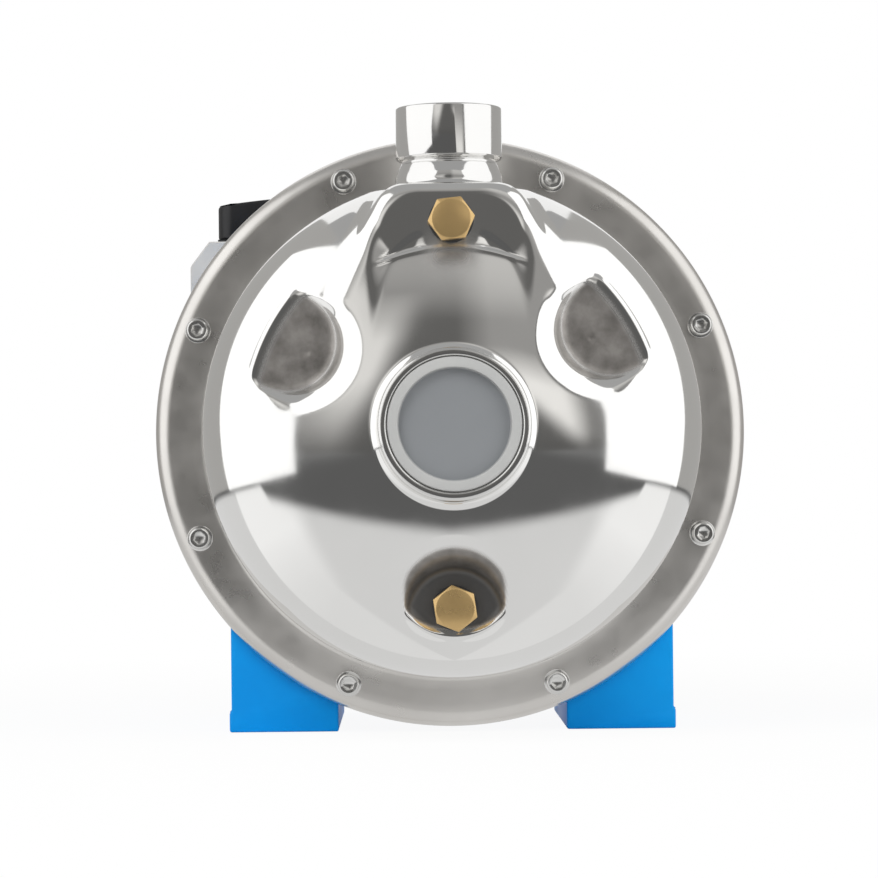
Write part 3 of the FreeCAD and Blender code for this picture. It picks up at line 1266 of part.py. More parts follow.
# Cooling fan, its clip, and the slotted cover
def make_fan():
    fan = body_at_joint("cooling_fan")
    revolve(fan, "fan_hub_turning", [
        (FAN_FRONT, "shaft_fan + weld_gap"),
        (FAN_FRONT, "fan_disc_radius"),
        (f"{FAN_FRONT} + fan_disc", "fan_disc_radius"),
        (f"{FAN_FRONT} + fan_disc", "fan_hub"),
        (FAN_END, "fan_hub - 1"),
        (FAN_END, "shaft_fan + weld_gap"),
    ])
    blade = sketch(fan, "blade_outline", "XZ_Plane", [
        ("fan_hub - 1.5", "-fan_blade_thickness/2"),
        ("fan_radius", "-fan_blade_thickness/2"),
        ("fan_radius", "fan_blade_thickness/2"),
        ("fan_hub - 1.5", "fan_blade_thickness/2"),
    ], f"-{FAN_FRONT}")
    one = extrude(fan, "blade", blade, "fan_depth - 2", back=True)
    around(fan, "blades", one, blade, "fan_blades")
    keep(fan, "cooling_fan")
    turned("fan_clip", [
        (f"{FAN_END} + 2*weld_gap", "shaft_fan - 1 + weld_gap"),
        (f"{FAN_END} + 2*weld_gap", "shaft_fan + 2.5"),
        (f"{FAN_END} + 1.1", "shaft_fan + 2.5"),
        (f"{FAN_END} + 1.1", "shaft_fan - 1 + weld_gap"),
    ])
    cover = body_at_joint("cover_pressing")
    revolve(cover, "cover_shell", [
        (COVER_FRONT, "cover_radius - cover_wall"),
        (COVER_FRONT, "cover_radius"),
        (f"{COVER_END} - cover_round", "cover_radius"),
        (COVER_END, "cover_radius - cover_round", "cover_round", -1),
        (COVER_END, "0"),
        (f"{COVER_END} - cover_wall", "0"),
        (f"{COVER_END} - cover_wall", "cover_radius - cover_round"),
        (f"{COVER_END} - cover_round", "cover_radius - cover_wall",
         "cover_round - cover_wall", 1),
    ])
    slot = sketch(cover, "grille_outline", "XZ_Plane", [
        ("grille_inner", "-grille_width/3", "grille_width*0.4", 1),
        ("grille_outer", "-grille_width/2"),
        ("grille_outer", "grille_width/2", "grille_width*0.6", 1),
        ("grille_inner", "grille_width/3"),
    ], f"-{COVER_END} - 1")
    one = extrude(cover, "grille_slot", slot, "cover_wall + 2", "PartDesign::Pocket", back=True)
    around(cover, "grille", one, slot, "grille_count")
    holes = []
    screws = []
    screw_place = f"({COVER_FRONT} + cover_overlap/2)"
    for index in range(4):
        angle = 45 + 90 * index
        way = FreeCAD.Rotation(Vector(0, 1, 0), 90 - angle)
        for kind, radius, low, length in (
                ("hole", "lid_screw + weld_gap", "cover_radius - 2*cover_wall", "4*cover_wall"),
                ("head", "lid_screw_head", "cover_radius", "2"),
                ("stem", "lid_screw", "fin_radius + weld_gap",
                 "cover_radius - fin_radius - weld_gap + 1")):
            piece = cylinder(f"cover_screw_{kind}_{index}", radius, length,
                             f"({low})*cos({angle})", screw_place, f"({low})*sin({angle})", way)
            if kind == "hole":
                holes.append(piece)
            else:
                screws.append(piece)
    keep(cut("fan_cover_drilled", cover, holes), "fan_cover")
    group("fan_cover_screws", [join(f"cover_screw_{index}", screws[2 * index:2 * index + 2])
                               for index in range(4)])


# Terminal box on the motor, with what it holds
def make_terminal_box():
    blank = body_at_joint("box_blank", along="box_front")
    front_view = sketch(blank, "box_front_view", "XZ_Plane", [
        ("-box_left", "box_low"),
        ("box_right", "box_low"),
        ("box_right", "box_rim"),
        ("-box_left + box_chamfer_across", "box_rim"),
        ("-box_left", "box_rim - box_chamfer_down"),
    ])
    extrude(blank, "box_block", front_view, "box_length", back=True)
    saddle = cylinder("box_saddle", "fin_radius + saddle_gap", "2*box_length", "0",
                      "box_front - box_length/2", "0")
    inner_left = f"(-{LID_LEFT} + lid_wall)"
    inner_width = f"({LID_WIDTH} - 2*lid_wall)"
    hollow = box("box_hollow", inner_width, "box_length - 2*box_wall - 2*box_ledge", "box_rim",
                 inner_left, "box_front + box_wall + box_ledge", BOX_FLOOR)
    sump = box("box_sump", "sump_width", "box_length - 2*box_wall - 2*box_ledge", "box_rim",
               inner_left, "box_front + box_wall + box_ledge", "box_low + box_wall")
    gland_across = "(-sump_middle)"
    gland_up = "(box_low + gland_radius)"
    pillars = []
    drill = []
    stems = []
    heads = []
    lid_front = "(box_front + box_ledge)"
    lid_length = "(box_length - 2*box_ledge)"
    for index, (side, end) in enumerate(((-1, 0), (1, 0), (-1, 1), (1, 1))):
        across = f"({LID_MIDDLE} + {side}*({LID_WIDTH}/2 - lid_boss - 1))"
        along = f"({lid_front} + lid_boss + 1 + {end}*({lid_length} - 2*(lid_boss + 1)))"
        pillars.append(cylinder(f"box_pillar_{index}", "lid_boss", f"box_rim - {BOX_FLOOR}",
                                across, along, BOX_FLOOR, UP))
        drill.append(cylinder(f"box_pillar_hole_{index}", "lid_screw + weld_gap", "box_rim",
                              across, along, "box_rim - 8", UP))
        stems.append((across, along))
    body = cut("box_tray", blank, [saddle, hollow, sump])
    entry = cylinder("box_cable_entry", "gland_thread", "4*box_wall + 2*box_ledge",
                     gland_across, "box_front + box_length - 3*box_wall - box_ledge", gland_up)
    keep(cut("terminal_box_base", join("box_with_pillars", [body] + pillars), drill + [entry]),
         "terminal_box_base")
    outer = lid_form("lid_outside", "0", lid_front, lid_length)
    inner = lid_form("lid_inside", "lid_wall", lid_front, lid_length)
    lid_holes = []
    lid_pillars = []
    for index, (across, along) in enumerate(stems):
        lid_pillars.append(cylinder(f"lid_pillar_{index}", "lid_boss", "lid_height",
                                    across, along, LID_LOW, UP))
        lid_holes.append(cylinder(f"lid_hole_{index}", "lid_screw + weld_gap", "3*lid_height",
                                  across, along, "box_rim", UP))
        heads.append(cylinder(f"lid_head_recess_{index}", "lid_screw_head + weld_gap",
                              "lid_height", across, along, f"{LID_EDGE} - 1.5", UP))
    shell = cut("lid_shell", outer, [inner])
    trimmed = join("lid_with_pillars", [shell] + lid_pillars)
    keep(cut("terminal_box_lid", trimmed, lid_holes + heads), "terminal_box_lid")
    lid_screws = []
    for index, (across, along) in enumerate(stems):
        stem = cylinder(f"lid_screw_stem_{index}", "lid_screw", f"{LID_EDGE} - box_rim + 5",
                        across, along, "box_rim - 6", UP)
        head = cylinder(f"lid_screw_head_{index}", "lid_screw_head", "1.8",
                        across, along, f"{LID_EDGE} - 1.5", UP)
        lid_screws.append(join(f"lid_screw_{index}", [stem, head]))
    group("lid_screws", lid_screws)
    seal = box("lid_gasket_sheet", LID_WIDTH, lid_length, "lid_gasket",
               f"-{LID_LEFT}", lid_front, "box_rim")
    middle = box("lid_gasket_middle", f"{LID_WIDTH} - 2*lid_wall", f"{lid_length} - 2*lid_wall",
                 "3*lid_gasket", f"-{LID_LEFT} + lid_wall", f"{lid_front} + lid_wall",
                 "box_rim - lid_gasket")
    corner_bosses = [cylinder(f"gasket_eye_{index}", "lid_boss", "lid_gasket", across, along,
                              "box_rim", UP) for index, (across, along) in enumerate(stems)]
    eyes = [cylinder(f"gasket_hole_{index}", "lid_screw + weld_gap", "3*lid_gasket", across, along,
                     "box_rim - lid_gasket", UP) for index, (across, along) in enumerate(stems)]
    frame = cut("lid_gasket_frame", seal, [middle])
    keep(cut("lid_gasket", join("lid_gasket_eyes", [frame] + corner_bosses), eyes), "lid_gasket")
    make_box_contents(gland_across, gland_up)


def lid_form(name, skin, lid_front, lid_length):
    """Crowned block of the lid, its surface lying skin below the lid's outside."""
    half = f"({LID_WIDTH}/2 - {skin})"
    crown_radius = f"(({half}*{half} + lid_crown*lid_crown)/(2*lid_crown))"
    body = body_at_joint(name, LID_MIDDLE, f"{lid_front} + {skin}")
    low = LID_LOW if skin == "0" else f"({LID_LOW} - 1)"
    view = sketch(body, name + "_view", "XZ_Plane", [
        (f"-{half}", low),
        (half, low),
        (half, f"{LID_EDGE} - {skin}"),
        (f"-{half}", f"{LID_EDGE} - {skin}", crown_radius, 1),
    ])
    block = extrude(body, name + "_block", view, f"{lid_length} - 2*{skin}", back=True)
    doc.recompute()
    rounding = body.newObject("PartDesign::Fillet", name + "_rounding")
    rounding.Base = (block, straight_edges(block.Shape, "z"))
    bind(rounding, "Radius", f"lid_corner - {skin}")
    body.Tip = rounding
    return body


def make_box_contents(gland_across, gland_up):
    floor = BOX_FLOOR
    terminal_left = "(-box_right/2)"
    terminal_front = "(box_front + (box_length - terminal_length)/2)"
    block = box("terminal_block_blank", "terminal_width", "terminal_length", "terminal_height",
                terminal_left, terminal_front, floor)
    studs = []
    holes = []
    for index in range(6):
        across = f"({terminal_left} + terminal_width/2 + ({index % 2} - 0.5)*stud_across)"
        along = f"({terminal_front} + terminal_length/2 + ({index // 2} - 1)*stud_along)"
        holes.append(cylinder(f"terminal_hole_{index}", "stud_radius + weld_gap", "3*terminal_height",
                              across, along, f"{floor} - 1", UP))
        stem = cylinder(f"terminal_stem_{index}", "stud_radius", "stud_length",
                        across, along, f"{floor} + weld_gap", UP)
        nut = hexagon(f"terminal_nut_{index}", "stud_flats", "stud_nut", across, along,
                      f"{floor} + terminal_height + weld_gap", 0.0, UP)
        studs.append(join(f"terminal_stud_{index}", [stem, nut]))
    keep(cut("terminal_block_drilled", block, holes), "terminal_block")
    group("terminal_studs", studs)
    can_low = "(box_low + box_wall + capacitor_radius + weld_gap)"
    can_front = "(box_front + box_wall + box_ledge + capacitor_gap)"
    can_length = "(box_length - 2*box_wall - 2*box_ledge - capacitor_gap - cable_room)"
    can = cylinder("capacitor_can", "capacitor_radius", can_length,
                   "-sump_middle", can_front, can_low)
    neck = cylinder("capacitor_cap", "capacitor_radius - 1.5", f"{can_length} + 3",
                    "-sump_middle", can_front, can_low)
    keep(join("capacitor", [can, neck]), "capacitor")
    face = "(box_front + box_length)"
    sleeve = cylinder("gland_sleeve", "gland_thread - weld_gap",
                      "box_wall + box_ledge + gland_collar + 0.7*gland_nut",
                      gland_across, f"{face} - box_wall - box_ledge", gland_up)
    collar = hexagon("gland_collar", "2*gland_radius - 4", "gland_collar",
                     gland_across, face, gland_up)
    bore = cylinder("gland_hole", "gland_bore", "6*gland_nut",
                    gland_across, f"{face} - 3*gland_nut", gland_up)
    keep(cut("cable_gland", join("gland_blank", [sleeve, collar]), [bore]), "cable_gland")
    nut = hexagon("gland_nut_block", "2*gland_radius - 5", "gland_nut", gland_across,
                  f"{face} + gland_collar + running_gap", gland_up)
    nut_bore = cylinder("gland_nut_bore", "gland_thread", "3*gland_nut", gland_across,
                        f"{face} - gland_collar", gland_up)
    keep(cut("gland_nut", nut, [nut_bore]), "gland_nut")


def build():
    make_casing()
    make_suction()
    make_discharge()
    make_plugs()
    make_casing_screws()
    make_seal()
    make_impeller()
    make_hydraulics()
    make_bracket()
    make_shaft()
    make_bearings()
    make_motor()
    make_fan()
    make_terminal_box()
    doc.recompute()


def check():
    """Stops before anything is written if an object failed."""
    for obj in doc.Objects:
        if "Invalid" in obj.State or "Error" in obj.State:
            raise SystemExit(f"{obj.Name} ({obj.Label}) failed: {obj.State}")
        if obj.TypeId in ("PartDesign::Pocket", "PartDesign::Groove"):
            removed = obj.BaseFeature.Shape.Volume - obj.Shape.Volume
            if removed < 0.1:
                raise SystemExit(f"{obj.Name} cuts nothing away: {removed:.3f} mm3")
    labels = [node.Label for node in NODES]
    if len(set(labels)) != len(labels):
        raise SystemExit("two sub-parts share a label")
    for node in NODES:
        shape = node.Shape
        if shape.isNull() or not shape.isValid() or not shape.Solids:
            raise SystemExit(f"{node.Label} has no valid solid")


def write():
    os.makedirs("parts", exist_ok=True)
    for node in NODES:
        node.Shape.exportStep(f"parts/{node.Label}.step")
    print(len(NODES), "sub-parts written")


build()
check()
write()
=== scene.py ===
import math
from typing import NamedTuple

import bpy
import numpy as np
from mathutils import Matrix, Vector


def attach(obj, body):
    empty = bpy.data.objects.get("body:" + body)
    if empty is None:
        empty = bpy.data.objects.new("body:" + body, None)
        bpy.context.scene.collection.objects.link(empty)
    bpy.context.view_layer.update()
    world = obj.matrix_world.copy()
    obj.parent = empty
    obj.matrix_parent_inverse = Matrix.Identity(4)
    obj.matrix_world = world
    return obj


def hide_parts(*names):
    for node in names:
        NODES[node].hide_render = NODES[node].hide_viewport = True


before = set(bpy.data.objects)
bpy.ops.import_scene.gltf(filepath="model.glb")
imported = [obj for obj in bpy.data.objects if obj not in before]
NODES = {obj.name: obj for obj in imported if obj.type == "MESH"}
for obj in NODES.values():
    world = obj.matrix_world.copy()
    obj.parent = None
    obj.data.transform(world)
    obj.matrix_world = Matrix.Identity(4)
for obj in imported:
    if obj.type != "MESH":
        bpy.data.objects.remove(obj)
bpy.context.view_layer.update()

# The pump stands in metres with its shaft along Y. Shapes below are written in millimetres:
# x across, d in front of the joint plane between casing and motor, z above the shaft.
MM = 0.001
JOINT_Y = -63.0
SHAFT_Z = 117.0


def spot(x, d, z):
    return Vector((x, JOINT_Y - d, SHAFT_Z + z)) * MM


# Making pieces
def deselect():
    if bpy.context.object and bpy.context.object.mode != "OBJECT":
        bpy.ops.object.mode_set(mode="OBJECT")
    bpy.ops.object.select_all(action="DESELECT")


def pick(piece):
    deselect()
    piece.select_set(True)
    bpy.context.view_layer.objects.active = piece


def named(name):
    piece = bpy.context.object
    piece.name = name
    piece.data.name = name
    return piece


def smooth(piece, angle=32.0):
    pick(piece)
    bpy.ops.object.shade_smooth_by_angle(angle=math.radians(angle))
    return piece


def apply(piece, modifier):
    pick(piece)
    bpy.ops.object.modifier_apply(modifier=modifier.name)


def round_edges(piece, width, segments=2, angle=35.0):
    bevel = piece.modifiers.new("edge_rounding", "BEVEL")
    bevel.width = width * MM
    bevel.segments = segments
    bevel.limit_method = "ANGLE"
    bevel.angle_limit = math.radians(angle)
    bevel.use_clamp_overlap = False
    apply(piece, bevel)


def boolean(piece, tool, operation):
    step = piece.modifiers.new("fit", "BOOLEAN")
    step.object = tool
    step.operation = operation
    step.solver = "EXACT"
    apply(piece, step)
    bpy.data.objects.remove(tool)


def merge_points(threshold):
    """Joins the points of the piece in edit mode that lie closer than the threshold."""
    bpy.ops.mesh.select_all(action="SELECT")
    bpy.ops.mesh.remove_doubles(threshold=threshold)


def turned(name, outline, steps=128, centre=None, axis=(0, 1, 0)):
    """Spins an outline of spots once round an axis through the centre."""
    deselect()
    bpy.ops.mesh.primitive_plane_add(size=MM)
    piece = named(name)
    bpy.ops.object.mode_set(mode="EDIT")
    bpy.ops.mesh.select_all(action="SELECT")
    bpy.ops.mesh.merge(type="CENTER")
    bpy.ops.transform.translate(value=outline[0])
    for before, after in zip(outline, list(outline[1:]) + [outline[0]]):
        bpy.ops.mesh.extrude_vertices_move(TRANSFORM_OT_translate={"value": after - before})
    merge_points(1e-6)
    bpy.ops.mesh.spin(steps=steps, angle=2 * math.pi, center=centre or spot(0, 0, 0), axis=axis)
    merge_points(2e-6)
    bpy.ops.mesh.normals_make_consistent(inside=False)
    bpy.ops.object.mode_set(mode="OBJECT")
    return piece


def bend(centre, radius, start, end, steps=6):
    """Points of an arc; angles in degrees, 0 along the first coordinate."""
    return [(centre[0] + radius * math.cos(math.radians(start + (end - start) * i / steps)),
             centre[1] + radius * math.sin(math.radians(start + (end - start) * i / steps)))
            for i in range(steps + 1)]


# Corners of one groove: place as a share of the pitch, and share of the depth
GROOVE = ((0.15, 0.0), (0.45, 1.0), (0.55, 1.0), (0.85, 0.0))
SOCKET_PITCH, PLUG_PITCH = 2.309, 1.337


def thread(start, end, radius, depth, pitch=SOCKET_PITCH):
    """Grooves of a pipe thread as (distance, radius) points, from start to end."""
    way = 1.0 if end > start else -1.0
    points = []
    for turn in range(int(abs(end - start) / pitch)):
        base = start + way * pitch * turn
        points += [(base + way * part * pitch, radius + share * depth) for part, share in GROOVE]
    return points


def along_shaft(points):
    """Spots of an outline given as (d, radius)."""
    return [spot(0, d, radius) for d, radius in points]


def copied(piece, name, shift):
    copy = bpy.data.objects.new(name, piece.data.copy())
    copy.data.name = name
    bpy.context.scene.collection.objects.link(copy)
    copy.data.transform(Matrix.Translation(shift))
    return copy


# The drawn casing
CROWN_R, CROWN_EDGE = 200.0, 72.0  # the crown's radius, and where the knuckle takes over
DRUM_R, DRUM_L = 93.2, 53.1
NECK_R, FLARE, NECK_L = 27.25, 4.0, 8.8
EDGE_SINE = CROWN_EDGE / CROWN_R
KNUCKLE = (DRUM_R - CROWN_EDGE) / (1.0 - EDGE_SINE)
KNUCKLE_AT = (DRUM_R - KNUCKLE, DRUM_L)
CROWN_AT = DRUM_L + (KNUCKLE - CROWN_R) * math.sqrt(1.0 - EDGE_SINE ** 2)
FLARE_SINE = (NECK_R + FLARE) / (CROWN_R + FLARE)
FLARE_AT = (NECK_R + FLARE, CROWN_AT + (CROWN_R + FLARE) * math.sqrt(1.0 - FLARE_SINE ** 2))
NECK_END = FLARE_AT[1] + NECK_L
SUCTION_FACE = NECK_END + 15.0


def dome_at(radius):
    """How far in front of the joint plane the dome's middle lies at a radius."""
    return CROWN_AT + math.sqrt(CROWN_R ** 2 - radius ** 2)


class Pocket(NamedTuple):
    """A stamped pocket; places count outward from the shaft, slopes are in degrees."""
    angle: float
    place: float  # of its round part
    radius: float
    end_place: float  # of its outer end
    end_radius: float
    end_slope: float
    fold_radius: float  # of the fold beyond the end
    fold_height: float
    sag: float  # how far the dome sinks on the inner side


PAD_TOP, PAD_LINE = 90.0, 65.3  # the pad's height, and where its front meets the dome
PAD_FRONT = dome_at(PAD_LINE)
PAD_FOOT = (35.5, 60.0)
PAD_LEAN = math.radians(18.4)
PAD_ROUND, PAD_FRONT_ROUND, CROWN_ROUND = 12.0, 6.5, 2.5
POCKET_FLOOR = dome_at(65.5) - 3.7
DRAFT = math.radians(30.0)
UPPER_POCKETS = [Pocket(angle, 68.0, 17.6, 0.0, 71.2, 60.0, 76.2, 1.35, 0.3)
                 for angle in (32.0, 152.5)]
DRAIN_POCKET = Pocket(270.0, 68.5, 17.0, 54.9, 20.3, 30.0, 22.3, 0.95, 0.0)
POCKETS = (*UPPER_POCKETS, DRAIN_POCKET)
DIMPLE_AT, DIMPLE_R, DIMPLE_DEPTH = 59.8, 1.2, 0.35  # the mark inside each pocket
OUTLET_D, OUTLET_R = 45.0, 16.5
FLANGE_D = 4.5  # the drum's end, behind which the flange begins
CASING_COLUMNS = 471
HEART_D = 40.0  # the pad is pressed outward from this place on the shaft


def blend_in(first, second, width):
    """Union of two distance fields with a rounded corner."""
    share = np.clip(0.5 + 0.5 * (second - first) / width, 0.0, 1.0)
    return second + (first - second) * share - width * share * (1.0 - share)


def blend_off(first, second, width):
    return -blend_in(-first, -second, width)


def ease(value, start, end):
    step = np.clip((value - start) / (end - start), 0.0, 1.0)
    return step * step * (3.0 - 2.0 * step)


def drawn_form(r, d):
    """Distance from the plain drawn shape: drum, knuckle, crown, flare and neck."""
    from_centre = np.hypot(r, d - CROWN_AT)
    sine = r / np.maximum(from_centre, 1.0)
    crown = from_centre - CROWN_R
    knuckle = np.hypot(r - KNUCKLE_AT[0], d - KNUCKLE_AT[1]) - KNUCKLE
    flare = FLARE - np.hypot(r - FLARE_AT[0], d - FLARE_AT[1])
    form = np.where(sine > EDGE_SINE, knuckle, crown)
    form = np.where(sine < FLARE_SINE, np.where(d > FLARE_AT[1], r - NECK_R, flare), form)
    return np.where(d < DRUM_L, r - DRUM_R, form)


def pressed_form(x, d, z):
    """The same with the pad pressed up on top and its crown cut flat."""
    form = drawn_form(np.hypot(x, z), d)
    flank = (np.abs(x) - PAD_FOOT[0]) * math.cos(PAD_LEAN) + (z - PAD_FOOT[1]) * math.sin(PAD_LEAN)
    pad = blend_off(flank, z - PAD_TOP, PAD_ROUND)
    pad = blend_off(pad, d - PAD_FRONT, PAD_FRONT_ROUND)
    pad = np.maximum(pad, 20.0 - z)
    # Sharp where the pad's front meets the dome, soft at its flanks
    form = blend_in(form, pad, 1.0 + 6.0 * ease(np.abs(x), 20.0, 31.0))
    # The flat crown rises to the full drum near the flange
    crown = z - (PAD_TOP + 12.0 * ease(d, 14.0, 5.5))
    return blend_off(form, crown, CROWN_ROUND)


def pocket_places(x, z):
    """Every pocket with the outward and sideways places in it."""
    for pocket in POCKETS:
        angle = math.radians(pocket.angle)
        cosine, sine = math.cos(angle), math.sin(angle)
        yield pocket, x * cosine + z * sine, z * cosine - x * sine


def pocket_wall(pocket, out, side, d):
    """Distance from a pocket's flank and outer end, negative within it."""
    rise = d - POCKET_FLOOR
    slope = math.radians(pocket.end_slope)
    flank = np.hypot(out - pocket.place, side) - pocket.radius
    flank = flank * math.cos(DRAFT) - rise * math.sin(DRAFT)
    end = np.hypot(out - pocket.end_place, side) - pocket.end_radius
    end = end * math.cos(slope) - rise * math.sin(slope)
    return blend_off(flank, end, 1.2)


def stamped_form(x, d, z):
    """And with the three pockets stamped in."""
    sag = np.zeros_like(x)
    for pocket, out, side in pocket_places(x, z):
        beyond = np.maximum(np.hypot(out - pocket.place, side) - 22.0, 0.0)
        sag = sag + pocket.sag * np.exp(-(beyond / 9.0) ** 2) * ease(out, 67.0, 56.0)
    form = pressed_form(x, d + sag, z)
    for pocket, out, side in pocket_places(x, z):
        hollow = blend_off(pocket_wall(pocket, out, side, d), POCKET_FLOOR - d, 2.2)
        form = blend_off(form, -hollow, 1.8 + 3.4 * ease(out, 66.0, 52.0))
    return form


def pad_hollow(x, r):
    """Depth of the two soft hollows that the plug's seat leaves above the dome's edge."""
    top = PAD_LINE + 0.8 + 5.2 * (1.0 - ease(np.abs(x), 11.0, 25.0))
    depth = ease(r, PAD_LINE - 0.2, PAD_LINE + 0.9) * (1.0 - ease(r, top - 1.6, top + 1.2))
    hollow = 0.8 * depth * ease(np.abs(x), 8.5, 14.0) * (1.0 - ease(np.abs(x), 23.0, 28.0))
    ridge = 0.3 * np.exp(-((r - PAD_LINE + 0.3) / 0.75) ** 2) * (1.0 - ease(np.abs(x), 24.0, 29.0))
    return hollow - ridge


def root(field, low, high):
    """Where a field changes from inside to outside between two distances."""
    for _ in range(34):
        middle = 0.5 * (low + high)
        within = field(middle) < 0.0
        low, high = np.where(within, middle, low), np.where(within, high, middle)
    return 0.5 * (low + high)


def casing_rows():
    """Radius and distance of the drawn outline's points, from the neck to the flange."""
    rows = [(NECK_R, NECK_END), (NECK_R, NECK_END - 0.5)]
    rows += bend(FLARE_AT, FLARE, 180.0, 270.0 - math.degrees(math.asin(FLARE_SINE)), 22)
    start = 90.0 - math.degrees(math.asin(FLARE_SINE))
    end = 90.0 - math.degrees(math.asin(EDGE_SINE))
    rows += bend((0.0, CROWN_AT), CROWN_R, start, end, 86)[1:]
    rows += bend(KNUCKLE_AT, KNUCKLE, end, 50.0, 24)[1:]
    rows += bend(KNUCKLE_AT, KNUCKLE, 50.0, 0.0, 40)[1:]
    rows += [(DRUM_R, DRUM_L + (FLANGE_D - DRUM_L) * i / 12) for i in range(1, 13)]
    return np.array(rows)


def casing_columns():
    """Angles round the shaft, closer together at the pockets and the pad."""
    angle = np.linspace(-150.0, 210.0, 7201)
    weight = np.ones_like(angle)
    # Where, over what width and by how much they are closer
    for centre, width, more in ((30, 14, 2.4), (150, 14, 2.4), (-90, 14, 2.4), (90, 26, 1.2)):
        weight += more * np.exp(-((angle - centre) / width) ** 2)
    total = np.concatenate(([0.0], np.cumsum(0.5 * (weight[1:] + weight[:-1]))))
    return np.radians(np.interp(np.linspace(0.0, total[-1], CASING_COLUMNS), total, angle))


def dome_grid(rows):
    """Flat grid as a start, with the row and column of each of its points."""
    deselect()
    bpy.ops.mesh.primitive_grid_add(x_subdivisions=CASING_COLUMNS - 1,
                                    y_subdivisions=len(rows) - 1, size=2.0)
    piece = named("casing_dome")
    flat = np.empty(len(piece.data.vertices) * 3, np.float64)
    piece.data.vertices.foreach_get("co", flat)
    flat = (flat.reshape(-1, 3) + 1.0) * 0.5
    column = np.rint(flat[:, 0] * (CASING_COLUMNS - 1)).astype(int)
    row = np.rint(flat[:, 1] * (len(rows) - 1)).astype(int)
    return piece, row, column


def press_pad(x, d, z):
    """Moves points of the drawn shape out to the pad, away from the heart."""
    reach = root(lambda t: pressed_form(x * t, HEART_D + (d - HEART_D) * t, z * t),
                 np.full(len(x), 0.72), np.full(len(x), 1.6))
    reach = np.where(np.abs(reach - 1.0) > 1e-5, reach, 1.0)
    return x * reach, HEART_D + (d - HEART_D) * reach, z * reach


def stamp_pockets(x, d, z):
    """The points' distance once the pockets and the dimple inside each are stamped in."""
    sunk = root(lambda t: stamped_form(x, t, z), np.full(len(x), 60.0), d + 4.0)
    near = np.zeros(len(x), bool)
    for _, out, side in pocket_places(x, z):
        near |= (out > 24.0) & (out < 82.0) & (np.abs(side) < 44.0) & (d > 62.0)
        away = (out - DIMPLE_AT) ** 2 + side ** 2
        sunk = sunk - DIMPLE_DEPTH * np.exp(-away / DIMPLE_R ** 2)
    return np.where(near & (sunk < d), sunk, d)


def matt_and_shade_share(x, d, z, depth):
    """1 where a pocket's floor or the pad's foot under the plug is matt and painted darker as
    shade, up to 2 in the drain pocket, whose floor is painted darkest.
    """
    # Matt and painted shade under the priming plug, at the pad's foot
    matt = 0.9 * np.exp(-(x / 9.0) ** 4 - ((z - 62.0) / 6.0) ** 2) * (z > 40.0)
    for pocket, out, side in pocket_places(x, z):
        if pocket is DRAIN_POCKET:
            # Painted shade in the drain pocket, darker towards its floor
            level = 1.3 + 0.7 * ease(d, POCKET_FLOOR + 2.2, POCKET_FLOOR + 0.8)
            level = level * ease(depth, 0.35, 1.3) * (out > 40.0) * (np.abs(side) < 27.0)
        else:
            level = ease(d, POCKET_FLOOR + 2.0, POCKET_FLOOR + 0.5)
            level = level * ease(pocket_wall(pocket, out, side, d), 1.0, -0.6) * (out > 0.0)
        matt = np.maximum(matt, level)
    return matt


def fold_edges(x, d, z):
    """The points' distance with the fold beyond each pocket and the hollows by the pad."""
    for pocket, out, side in pocket_places(x, z):
        edge = np.hypot(out - pocket.end_place, side) - pocket.fold_radius
        lip = np.exp(-(edge / 1.5) ** 2) * ease(out, 66.0, 71.0)
        d = d + pocket.fold_height * lip * ease(np.abs(side), 21.0, 13.0)
    return np.where(z > 50.0, d - pad_hollow(x, np.hypot(x, z)) * (d > PAD_FRONT - 3.0), d)


def cut_outlet(piece):
    """Takes away the faces within the discharge socket's foot."""
    bpy.ops.mesh.select_all(action="DESELECT")
    bpy.ops.object.mode_set(mode="OBJECT")
    outlet = spot(0, OUTLET_D, 0)
    for face in piece.data.polygons:
        away = math.hypot(face.center.x - outlet.x, face.center.y - outlet.y)
        face.select = face.center.z > outlet.z + 73.0 * MM and away < OUTLET_R * MM
    bpy.ops.object.mode_set(mode="EDIT")
    bpy.ops.mesh.delete(type="FACE")


def make_casing_dome():
    rows, columns = casing_rows(), casing_columns()
    piece, row, column = dome_grid(rows)
    r, d = rows[row, 0], rows[row, 1]
    x, drawn, z = press_pad(r * np.cos(columns[column]), d, r * np.sin(columns[column]))
    d = stamp_pockets(x, drawn, z)
    # Share of matt finish and of painted shade on the pocket floors and under the plug
    matt = matt_and_shade_share(x, d, z, drawn - d)
    d = fold_edges(x, d, z)
    placed = np.stack((x, JOINT_Y - d, SHAFT_Z + z), axis=1) * MM
    piece.data.vertices.foreach_set("co", placed.ravel())
    piece.data.attributes.new("floor_matt_and_shade", "FLOAT", "POINT").data.foreach_set("value", matt)
    piece.data.update()
    bpy.ops.object.mode_set(mode="EDIT")
    merge_points(1e-6)
    bpy.ops.mesh.normals_make_consistent(inside=False)
    cut_outlet(piece)
    bpy.ops.object.mode_set(mode="OBJECT")
    bpy.ops.object.shade_smooth()
    return piece


def make_casing_flange():
    """Flange and rolled rim, drawn as (distance, radius)."""
    outline = bend((5.8, 97.2), 4.0, -90.0, -180.0, 8)
    outline += [(1.8, 101.0), (1.8, 106.0)]
    outline += bend((-4.2, 109.0), 6.0, 0.0, 90.0, 12)
    outline += bend((-4.2, 109.0), 4.2, 90.0, 0.0, 8)
    outline += [(0.0, 91.4), (5.8, 91.4)]
    return smooth(turned("casing_flange", along_shaft(outline), 512), 40.0)


# Sockets and cap
SUCTION_BORE, OUTLET_BORE, GROOVE_DEPTH = 22.42, 15.15, 0.9


